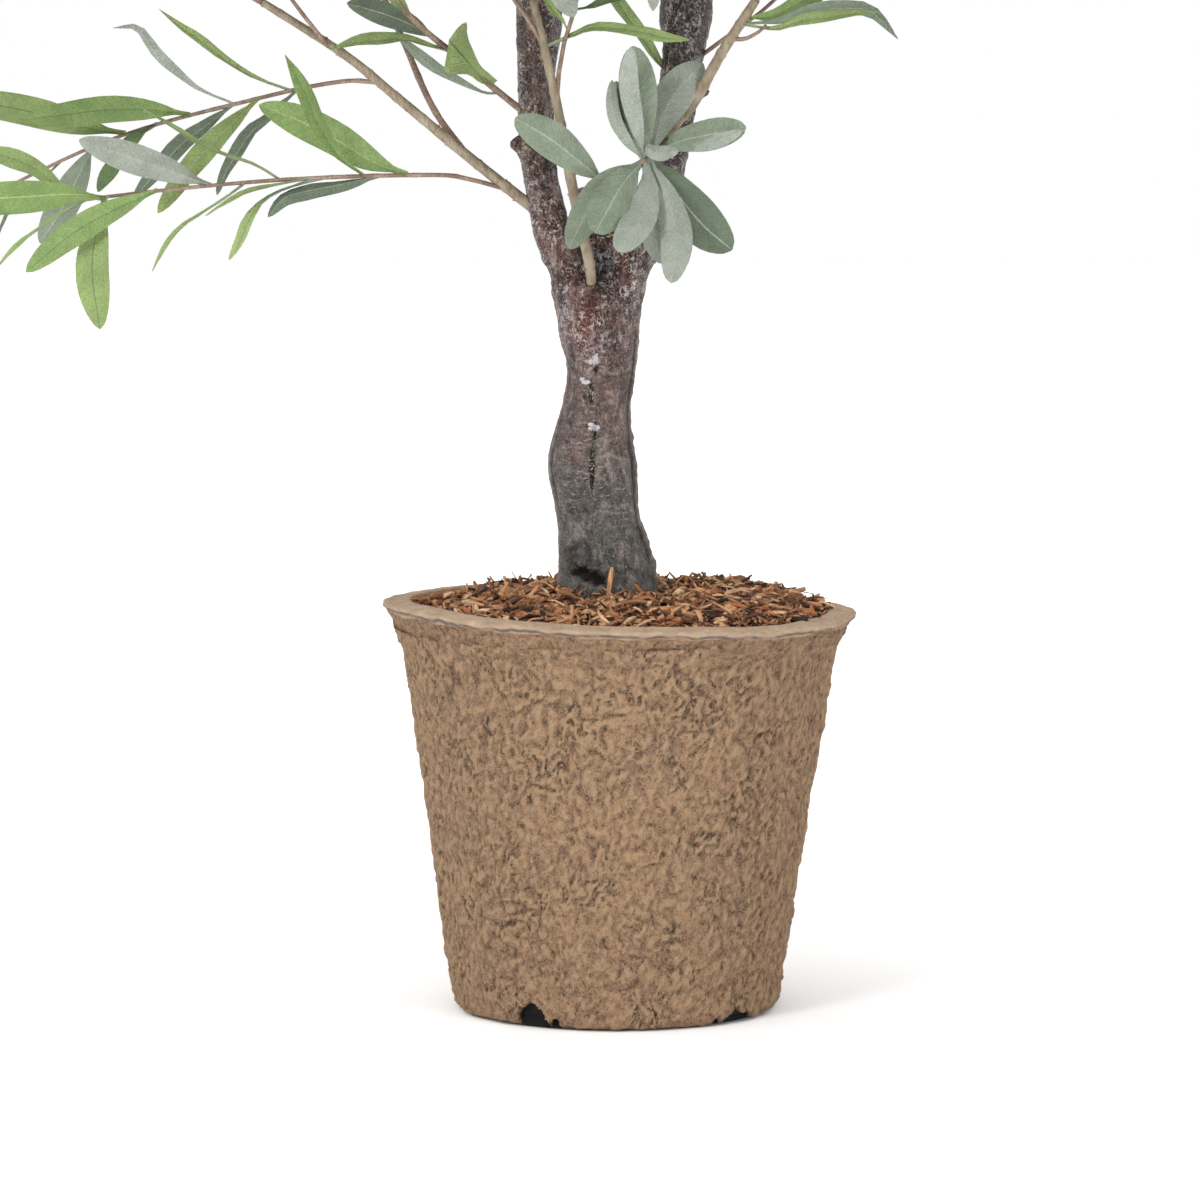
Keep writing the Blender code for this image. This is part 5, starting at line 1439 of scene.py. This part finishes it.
def seen(across, down, depth):
    """The point on the plane y = depth that shows at a place of the view."""
    ray = AHEAD * VIEW_SCALE + ASIDE * (across - VIEW_SIZE / 2) - ABOVE * (down - VIEW_SIZE / 2)
    return EYE + ray * ((depth - EYE[1]) / ray[1])


def shown(points):
    """Where points show in the view: across and down."""
    away = points - EYE
    far = away @ AHEAD
    return np.stack([VIEW_SIZE / 2 + VIEW_SCALE * (away @ ASIDE) / far,
                     VIEW_SIZE / 2 - VIEW_SCALE * (away @ ABOVE) / far], -1)


# %% Leaves placed one by one
LOW_A, LOW_B, ROSE = "spray_low_left_front", "spray_low_left_back", "spray_rosette"
LANCE, BLUNT, SPOON, WEDGE = (0.9, 1.2), (0.55, 1.2), (0.5, 1.35), (0.6, 3.4)  # taper and belly of the outline

# Carrier, width in pixels, outline, depth step in metres, turn of the blade away from the viewer at its base and
# tip in degrees (180 shows the underside), fold, upper colour, lower colour, points across and down
SEEN_LEAVES = [
    (LOW_B, 12, LANCE, -0.03, 130, 165, 16, 1, 6,
     ((229, 102), (200, 90), (180, 75), (160, 57), (146, 38), (136, 27), (113, 28))),
    (LOW_B, 14, LANCE, -0.02, 58, 36, 20, 2, 5,
     ((288, 90), (260, 80), (240, 70), (220, 56), (200, 40), (183, 29), (159, 9))),
    (LOW_B, 30, BLUNT, -0.025, 15, 8, 8, 0, 5, ((184, 113), (150, 110), (105, 110), (65, 115), (26, 119))),
    (LOW_B, 33, BLUNT, 0.02, 20, 5, 10, 1, 6, ((117, 134), (88, 128), (40, 114), (-10, 104), (-50, 100))),
    (LOW_B, 24, BLUNT, -0.01, 50, 35, 14, 4, 8, ((157, 125), (132, 142), (110, 172), (98, 192))),
    (LOW_B, 33, BLUNT, 0.012, 155, 175, 10, 3, 7, ((88, 151), (80, 172), (64, 205), (40, 243))),
    (LOW_B, 25, BLUNT, -0.03, 12, 20, 8, 1, 5, ((258, 100), (236, 120), (215, 140), (190, 168), (158, 213))),
    (LOW_B, 20, BLUNT, 0.014, 160, 150, 10, 4, 8, ((230, 110), (205, 126), (180, 145), (156, 172), (133, 199))),
    (LOW_B, 18, BLUNT, -0.012, 125, 140, 12, 4, 8,
     ((299, 93), (270, 117), (252, 130), (237, 152), (225, 172), (217, 195))),
    (LOW_B, 8, LANCE, 0.015, 60, 60, 10, 4, 7, ((60, 163), (52, 170), (44, 178))),
    (LOW_A, 22, BLUNT, 0.02, 30, 20, 12, 1, 7, ((65, 187), (40, 172), (10, 158), (-25, 150))),
    (LOW_A, 36, BLUNT, 0.012, 12, 8, 10, 0, 5, ((402, 174), (375, 163), (335, 139), (300, 121), (259, 105))),
    (LOW_A, 21, LANCE, -0.036, 30, 24, 9, 3, 5, ((357, 174), (340, 158), (318, 125), (304, 92), (285, 55))),
    (LOW_A, 19, BLUNT, -0.02, 212, 205, 20, 3, 8, ((382, 179), (345, 184), (310, 191), (285, 198), (268, 217))),
    (LOW_A, 14, LANCE, -0.024, 70, 62, 12, 2, 5, ((320, 179), (280, 184), (245, 193), (225, 203), (205, 216))),
    (LOW_A, 16, BLUNT, -0.02, 112, 20, 14, 2, 7,
     ((325, 181), (290, 187), (265, 200), (249, 219), (241, 239), (229, 260))),
    (LOW_A, 13, LANCE, 0.014, 62, 66, 14, 2, 5,
     ((273, 176), (255, 165), (225, 155), (200, 144), (160, 119), (141, 107))),
    (LOW_A, 13, LANCE, -0.03, 70, 58, 12, 2, 5,
     ((243, 186), (222, 200), (185, 224), (175, 235), (165, 247), (151, 273))),
    (LOW_A, 31, BLUNT, -0.03, 182, 175, 10, 3, 5, ((204, 183), (168, 170), (120, 154), (79, 140))),
    (LOW_A, 29, BLUNT, -0.034, 16, 10, 9, 0, 5, ((162, 191), (125, 205), (75, 232), (26, 272))),
    (LOW_A, 34, BLUNT, -0.024, 12, 8, 9, 1, 5, ((112, 198), (98, 222), (92, 270), (100, 329))),
    (LOW_A, 35, BLUNT, -0.018, -24, -10, 10, 3, 5, ((110, 194), (70, 194), (20, 197), (-30, 199), (-62, 200))),
    (LOW_A, 13, LANCE, -0.03, 68, 62, 12, 2, 7, ((80, 196), (60, 214), (40, 228), (20, 243), (-6, 270))),
    (LOW_A, 10, LANCE, 0.012, 62, 62, 12, 2, 7, ((22, 196), (7, 215), (-6, 246))),
    ("spray_left_front", 66, WEDGE, -0.022, 34, 40, 6, 2, 5,
     ((489, 86), (479, 75), (469, 63), (459, 52), (449, 40))),
    ("spray_left_front", 16, LANCE, -0.02, 132, 140, 24, 2, 7,
     ((498, 95), (484, 93), (458, 82), (430, 65), (408, 46), (394, 28))),
    ("spray_left_front", 22, LANCE, -0.024, 52, 48, 22, 2, 5,
     ((448, 55), (425, 45), (400, 39), (362, 42), (330, 49))),
    ("spray_left_front", 25, BLUNT, 0.02, 172, 165, 12, 4, 8, ((436, 40), (414, 26), (385, 14), (347, 3))),
    ("spray_left_front", 20, BLUNT, -0.02, 20, 25, 14, 1, 5, ((413, 18), (402, 6), (388, -12), (362, -40))),
    ("stem_centre", 18, BLUNT, -0.045, 50, 40, 12, 2, 5,
     ((566, 41), (574, 35), (588, 29), (606, 28), (640, 32), (665, 38), (690, 40))),
    ("limb_right", 20, BLUNT, -0.012, 46, 36, 20, 2, 7,
     ((676, 82), (664, 70), (645, 42), (628, 18), (611, -8), (590, -44))),
    ("centre_right_spur", 29, BLUNT, -0.004, 174, 178, 10, 3, 5, ((590, -56), (572, -34), (562, -12), (574, 17))),
    ("centre_right_spur", 9, LANCE, -0.006, 30, 30, 22, 2, 5, ((568, 30), (562, 20), (551, 8), (540, -10))),
    ("centre_right_spur", 13, LANCE, 0.01, 40, 40, 14, 4, 8, ((577, 14), (590, 7), (606, 1), (640, -8))),
    ("stem_right", 25, BLUNT, -0.012, 176, 180, 10, 3, 6, ((700, -74), (676, -46), (656, -18), (653, 11))),
    ("stem_right", 17, LANCE, -0.04, 150, 168, 18, 4, 7,
     ((757, 36), (780, 21), (812, 11), (845, 8), (872, 12), (898, 39))),
    ("stem_right", 16, LANCE, -0.044, 36, 30, 18, 2, 5,
     ((757, 37), (775, 29), (800, 21), (835, 16), (860, 13), (877, 12))),
    ("stem_right", 20, BLUNT, -0.01, 20, 15, 14, 0, 5, ((760, 28), (775, 16), (800, 3), (850, -22))),
    # These two rows are one folded leaf: the wide leaf in a darker sage sits behind the narrow lighter one, and its
    # showing edge is painted shade on the fold's far half.
    (ROSE, 20, SPOON, -0.016, 176, 184, 10, 3, 6, ((640, 154), (636, 122), (629, 86), (631, 47))),
    (ROSE, 38, SPOON, -0.004, 176, 180, 8, 3, 7, ((642, 152), (641, 122), (638, 88), (633, 46))),
    # These two rows are one folded leaf: the wide leaf in a darker sage sits behind the narrow lighter one, and its
    # showing edge is painted shade on the fold's far half.
    (ROSE, 14, SPOON, 0.004, 168, 160, 10, 3, 5, ((628, 152), (620, 130), (612, 106), (612, 80))),
    (ROSE, 24, SPOON, 0.012, 168, 160, 10, 3, 7, ((634, 157), (626, 132), (619, 106), (616, 81))),
    (ROSE, 39, SPOON, 0.018, 182, 178, 8, 3, 5, ((650, 148), (660, 122), (676, 92), (703, 63))),
    # These two rows are one folded leaf: the wide leaf in a darker sage sits behind the narrow lighter one, and its
    # showing edge is painted shade on the fold's far half.
    (ROSE, 32, SPOON, -0.012, 184, 178, 10, 3, 7, ((652, 148), (680, 141), (712, 134), (746, 127))),
    (ROSE, 15, SPOON, -0.018, 184, 178, 8, 3, 6, ((656, 150), (684, 145), (714, 142), (742, 131))),
    (ROSE, 16, SPOON, -0.024, 190, 185, 12, 3, 6, ((636, 140), (645, 148), (658, 153), (678, 151))),
    (ROSE, 32, SPOON, -0.006, 176, 180, 10, 3, 7, ((626, 160), (606, 184), (586, 214), (569, 249))),
    (ROSE, 42, SPOON, -0.03, 176, 180, 10, 3, 7, ((634, 160), (624, 182), (610, 206), (595, 233))),
    (ROSE, 34, SPOON, -0.044, 182, 176, 24, 3, 6, ((645, 158), (648, 184), (641, 216), (617, 251))),
    (ROSE, 34, SPOON, -0.038, 176, 186, 26, 3, 6, ((652, 162), (668, 200), (677, 240), (671, 283))),
    (ROSE, 31, SPOON, -0.004, 168, 172, 12, 3, 5, ((648, 166), (650, 196), (654, 232), (664, 264))),
    (ROSE, 46, SPOON, 0.004, 172, 176, 10, 3, 8, ((664, 176), (682, 200), (704, 226), (732, 250))),
    ("rosette_spur", 37, SPOON, -0.012, 184, 178, 10, 3, 7, ((603, 178), (582, 164), (552, 140), (515, 118))),
]

# %% Midribs of the placed leaves
carriers = dict(spray_paths)
carriers.update({name: path[:, :3] for name, path in stem_paths.items()})
carriers.update({name: smooth_path(in_metres(points), 8) for name, (_, points) in FINE_TWIGS.items()})
carriers["limb_right"] = smooth_path(in_metres(LIMB_RIGHT), 10)[:, :3]
seen_leaves = []
for carrier, width, shape, step, turn0, turn1, fold, top, under, spots in SEEN_LEAVES:
    spots = np.array(spots, float)
    path = carriers[carrier]
    nearest = np.argmin(np.linalg.norm(shown(path) - spots[0], axis=1))
    walked = walked_along(spots)
    depths = path[nearest, 1] + step * walked / walked[-1]
    points = np.array([seen(x, y, depth) for (x, y), depth in zip(spots, depths)])
    points[0] = path[nearest]
    chord = unit(points[-1] - points[0])
    lift = np.cross(chord, -AHEAD)
    lift = unit(lift if (lift[2] if abs(lift[2]) > 0.15 else lift[0]) > 0 else -lift)
    turn = math.radians(turn0)
    face = -AHEAD * math.cos(turn) + lift * math.sin(turn)
    sense = 1 if np.dot(np.cross(chord, face), lift * math.cos(turn) + AHEAD * math.sin(turn)) > 0 else -1
    rib = RIB_PALE if carrier != ROSE and len(seen_leaves) % 5 == 1 else RIB_GREEN
    seen_leaves.append(dict(points=points, face=face, twist=sense * math.radians(turn1 - turn0),
                            width=width * PIXEL, fold=math.radians(fold), top=top, under=under, rib=rib,
                            taper=shape[0], belly=shape[1]))
for name in (LOW_A, LOW_B):
    growths[name].pairs_along(spray_paths[name], 0.88, 0.96, 2, (34, 50))
print(len(seen_leaves), "leaves placed one by one")

# %% [markdown]
# ## Leaf shells
# A fabric leaf is two printed layers over a wire midrib: green above, sage below. Each is a thin closed shell:
# one sheet above and one below that meet along the rim. The blade is folded a little along the midrib, bowed,
# and twisted towards its tip. The midrib is a strip of its own, in a shallow groove above and proud below.

# %% Leaf shells
LEAF_THICKNESS = 0.55 * MM
STALK_SHARE = 0.27  # half width of the stalk against the widest half width
BASE_FOLD = math.radians(50)  # the cloth is gathered round the stalk, and opens towards the blade
BLADE_COLUMNS = np.array((-1.0, -0.55, -0.06, 0.06, 0.55, 1.0))
CROWN_STATIONS = np.array((0.0, 0.06, 0.21, 0.43, 0.67, 0.88, 1.0))
NEAR_COLUMNS = np.array((-1.0, -0.8, -0.55, -0.3, -0.04, 0.04, 0.3, 0.55, 0.8, 1.0))
NEAR_STATIONS = np.array((0.0, 0.03, 0.06, 0.1, 0.15, 0.21, 0.28, 0.36, 0.45, 0.54, 0.63, 0.72, 0.8, 0.87, 0.93,
                          0.97, 1.0))


def at_stations(path, stations):
    """Points at the given shares of a path's length."""
    walked = walked_along(path)
    return np.stack([np.interp(stations * walked[-1], walked, path[:, k]) for k in range(path.shape[1])], -1)


def blade_width(stations, taper, belly):
    """Half width along a leaf as a share of the widest: max(stalk, sin(pi u^belly)^taper), with u the share
    past the stalk, and nearly nothing at the tip. A low taper makes a blunt leaf, and a high belly puts the
    widest place nearer the tip."""
    past = np.clip((stations - 0.04) / 0.96, 0, 1)
    share = np.sin(math.pi * past ** belly).clip(0, 1) ** taper
    return np.where(stations > 0.9, np.maximum(share, 0.05), np.maximum(share, STALK_SHARE))


def column_of(leaves, key):
    """One number or direction of every leaf, as an array."""
    return np.array([leaf[key] for leaf in leaves], float)


print("near leaf:", len(NEAR_STATIONS), "rows of", len(NEAR_COLUMNS))

# %% Many leaves in one mesh
def leaf_shells(name, leaves, paths, stations, columns, waves, looks):
    """Closed shells along many midribs at once, shaped (leaf, station, 3). At each station the blade's side
    lies square to the midrib; a point at share t of the half width w lies at t w cos(fold) to the side and
    |t| w sin(fold) up, plus a slow wave along the rim."""
    count, rows, cols = len(leaves), len(stations), len(columns)
    along = unit(np.gradient(paths, axis=1))
    face = column_of(leaves, "face")[:, None]
    up = unit(face - along * np.sum(face * along, axis=2, keepdims=True))
    side = np.cross(along, up)
    turn = (column_of(leaves, "twist")[:, None] * stations)[..., None]
    up, side = up * np.cos(turn) + side * np.sin(turn), side * np.cos(turn) - up * np.sin(turn)
    taper, belly = (column_of(leaves, key)[:, None] for key in ("taper", "belly"))
    half = column_of(leaves, "width")[:, None] / 2 * blade_width(stations, taper, belly)
    fold = column_of(leaves, "fold")[:, None]
    fold = fold + (BASE_FOLD - fold) * smooth_step(0.27, 0.03, stations) - 0.5 * fold * stations
    reach = np.abs(columns)
    phase = np.random.default_rng(count).uniform(0, 1, (count, 1, 2))
    ripple = np.sin(2 * math.pi * (stations[None, :, None] * np.array(waves) + phase))
    ripple = np.where(columns < 0, ripple[..., :1], ripple[..., 1:])
    across = (half * np.cos(fold))[..., None] * columns
    raised = (half * np.sin(fold))[..., None] * reach + 0.13 * half[..., None] * ripple * reach ** 2
    sheet = paths[:, :, None] + side[:, :, None] * across[..., None] + up[:, :, None] * raised[..., None]
    inner = np.zeros((rows, cols))
    inner[1:-1, 1:-1] = (1 - reach[1:-1] ** 3)[None]
    rib = (reach < 0.1).astype(float)
    over = inner * LEAF_THICKNESS * (0.5 - 0.25 * rib)
    below = inner * LEAF_THICKNESS * (0.5 + 0.75 * rib)
    top = sheet + up[:, :, None] * over[None, ..., None]
    bottom = (sheet - up[:, :, None] * below[None, ..., None])[:, 1:-1, 1:-1]
    verts = np.concatenate([top.reshape(count, -1, 3), bottom.reshape(count, -1, 3)], axis=1)
    upper = np.arange(rows * cols).reshape(rows, cols)
    lower = upper.copy()
    lower[1:-1, 1:-1] = rows * cols + np.arange((rows - 2) * (cols - 2)).reshape(rows - 2, cols - 2)

    def grid(place):
        """Quads between neighbouring rows and columns."""
        return np.stack([place[:-1, :-1], place[1:, :-1], place[1:, 1:], place[:-1, 1:]], -1).reshape(-1, 4)

    split_alike = [0, 3, 2, 1]  # both sheets are split along the same diagonals
    faces = np.concatenate([grid(upper)[:, split_alike], grid(lower)])
    size = verts.shape[1]
    quads = (faces[None] + size * np.arange(count)[:, None, None]).reshape(-1, 4)
    middle = np.tile(np.arange(cols - 1) == (cols - 1) // 2, rows - 1)
    tops, unders, ribs = (column_of(leaves, key)[:, None] for key in ("top", "under", "rib"))
    slots = np.concatenate([np.where(middle, ribs, tops), np.where(middle, RIB_SAGE, unders)], axis=1)
    length = np.linalg.norm(np.diff(paths, axis=1), axis=2).sum(axis=1)[:, None, None]
    flat = np.stack([half[..., None] * columns, np.broadcast_to(stations[:, None] * length, (count, rows, cols))], -1)
    chart = np.concatenate([flat.reshape(count, -1, 2), flat[:, 1:-1, 1:-1].reshape(count, -1, 2)], axis=1)
    obj = build_mesh(name, verts.reshape(-1, 3), quads, None, looks, slots.reshape(-1), None, chart.reshape(-1, 2))
    rim = np.zeros(size, bool)
    rim[np.concatenate([upper[0], upper[-1], upper[:, 0], upper[:, -1]])] = True
    ends = np.zeros(len(obj.data.edges) * 2, np.int64)
    obj.data.edges.foreach_get("vertices", ends)
    hard = rim[ends % size].reshape(-1, 2).all(axis=1)
    obj.data.attributes.new("sharp_edge", "BOOLEAN", "EDGE").data.foreach_set("value", hard)
    return obj


# %% [markdown]
# ## Printed cloth
# The leaves are cut from polyester, printed in greens above and sages below. Twelve looks are dealt out among
# them, so that neighbours differ. The veins follow each leaf's own chart, which counts metres across and along
# the blade, so they slant towards the rim on every leaf.

# %% Cloth looks
VEIN_SPACING = 5.5 * MM
GREENS = ((124, 148, 88), (132, 152, 93), (151, 171, 110), (116, 141, 80), (97, 118, 74))
SAGES = ((145, 151, 139), (151, 157, 146), (124, 136, 116), (99, 112, 92))
RIBS = ((102, 121, 72), (162, 172, 120), (158, 165, 147))


def cloth_finish(name, colour, veins):
    """Printed polyester: one colour with slow mottling and a grainy weave. Side veins slant to the rim, and a net
    of finer ones lies between them."""
    finish = Finish("leaf_" + name, roughness=0.72)
    darker = [0.76 * part for part in colour]
    lighter = [min(255, 1.17 * part + 6) for part in colour]
    chart = finish.node("ShaderNodeUVMap", {"uv_map": "chart"})
    u = finish.node("ShaderNodeSeparateXYZ", {}, {"Vector": chart}, "X")
    v = finish.node("ShaderNodeSeparateXYZ", {}, {"Vector": chart}, "Y")
    slanted = (v - abs(u) * 0.9) * (2 * math.pi / VEIN_SPACING)
    vein = slanted.math("SINE", slanted, 0.0).between(0.84, 1.0)
    _, net = finish.torn_edges(0.004, 0.0016, 0.1)
    slow = finish.noise(0.014, 4.0, 0.65, 0.6)
    weave = finish.noise(0.001, 3.0, 0.7)
    tone = finish.coats(
        from_screen(*colour),
        (slow.between(0.6, 0.36) * 0.5, darker),
        (weave.between(0.51, 0.7) * 0.45, lighter),
        (weave.between(0.49, 0.32) * 0.5, darker),
        (vein * veins + net * veins * 0.8, lighter))
    height = weave * 0.6 + vein * 0.7 + net * 0.5 + slow * 0.5
    return finish.apply(tone, normal=finish.bump(height, 0.0006, 0.7))


leaf_looks = []
for kind, colours, veins in (("green", GREENS, 0.24), ("sage", SAGES, 0.3), ("rib", RIBS, 0.0)):
    for colour in colours:
        leaf_looks.append(cloth_finish(f"{kind}_{len(leaf_looks) + 1}", colour, veins))
print(len(leaf_looks), "cloth looks")

# %% [markdown]
# ## The crown
# Nearly three thousand leaves are grown, too many to shape one by one. The sprays are sorted by height into
# layers of about as many leaves, and each layer is one mesh from one call. The leaves placed singly get more rows
# and columns than those above. The wired stems and twigs of all the sprays are one more mesh.

# %% Crown leaves
CROWN_LAYERS = 3
CROWN_WAVES = (1.4, 1.1)  # waves along the left and right rim of a leaf
NEAR_WAVES = (2.3, 1.7)


def arcs(leaves, stations):
    """Midribs as parabolas through root, middle and tip."""
    root, middle, tip = (column_of(leaves, key)[:, None] for key in ("root", "mid", "tip"))
    s = stations[None, :, None]
    pull = 2 * middle - (root + tip) / 2
    return root * (1 - s) ** 2 + 2 * pull * s * (1 - s) + tip * s ** 2


layered = sorted(((np.mean([leaf["mid"][2] for leaf in growth.leaves]), name)
                  for name, growth in growths.items() if growth.leaves))
total = sum(len(growths[name].leaves) for _, name in layered)
pieces = [[] for _ in range(CROWN_LAYERS)]
counted = 0
for _, name in layered:
    pieces[min(CROWN_LAYERS - 1, counted * CROWN_LAYERS // total)].append(name)
    counted += len(growths[name].leaves)
for k, names in enumerate(pieces):
    leaves = [leaf for name in names for leaf in growths[name].leaves]
    obj = leaf_shells(f"crown_leaves_{k + 1}", leaves, arcs(leaves, CROWN_STATIONS), CROWN_STATIONS,
                      BLADE_COLUMNS, CROWN_WAVES, leaf_looks)
    settle(obj, "leaf_fabric", *(name for name in names if name not in (LOW_A, LOW_B, ROSE)))

near_paths = np.array([at_stations(smooth_path(leaf["points"], 12), NEAR_STATIONS) for leaf in seen_leaves])
near_leaves = leaf_shells("near_leaves", seen_leaves, near_paths, NEAR_STATIONS, NEAR_COLUMNS, NEAR_WAVES, leaf_looks)
settle(near_leaves, "leaf_fabric", LOW_A, LOW_B, ROSE)

# %% Twigs
SPRAY_RADII = {  # radius of a spray's stem at its start and at its tip
    "full": (0.0024, 0.001), "lower": (0.0021, 0.001), "twig": (0.0014, 0.0009), "rosette": (0.0018, 0.0012)}
SPRAY_STATIONS, SPRAY_SIDES = 70, 8
TWIG_STATIONS, TWIG_SIDES = 9, 5
SPRAY_RING_SPACING = 0.024

twig_finish = Finish("twig_plastic", roughness=0.6)
twig_tone = twig_finish.noise(0.012, 3.0, 0.6, 0.3)
twig_grain = twig_finish.noise(0.0014, 3.0, 0.6)
twig_colour = twig_finish.coats(
    from_screen(124, 101, 87),
    (twig_tone.between(0.38, 0.62), (160, 138, 120)),
    (twig_grain.between(0.52, 0.38) * 0.5, (98, 70, 58)))
twig_look = twig_finish.apply(twig_colour, normal=twig_finish.bump(twig_grain, 0.0005, 0.6))

main_paths, main_radii, fine_paths, fine_radii = [], [], [], []
for name, growth in growths.items():
    thick, thin = SPRAY_RADII[SPRAYS[name][0]]
    path = at_stations(spray_paths[name], np.linspace(0, 1, SPRAY_STATIONS))
    main_paths.append(path)
    main_radii.append(np.linspace(thick, thin, SPRAY_STATIONS) * ringed(path, SPRAY_RING_SPACING))
    for points, first, last in growth.twigs:
        fine_paths.append(at_stations(points, np.linspace(0, 1, TWIG_STATIONS)))
        fine_radii.append(np.linspace(first, last, TWIG_STATIONS))
stem_parts = tubes(np.array(main_paths), np.array(main_radii), SPRAY_SIDES)
fine_parts = tubes(np.array(fine_paths), np.array(fine_radii), TWIG_SIDES)
settle(build_mesh("twigs", *joined([stem_parts, fine_parts]), [twig_look]), "stem_plastic")
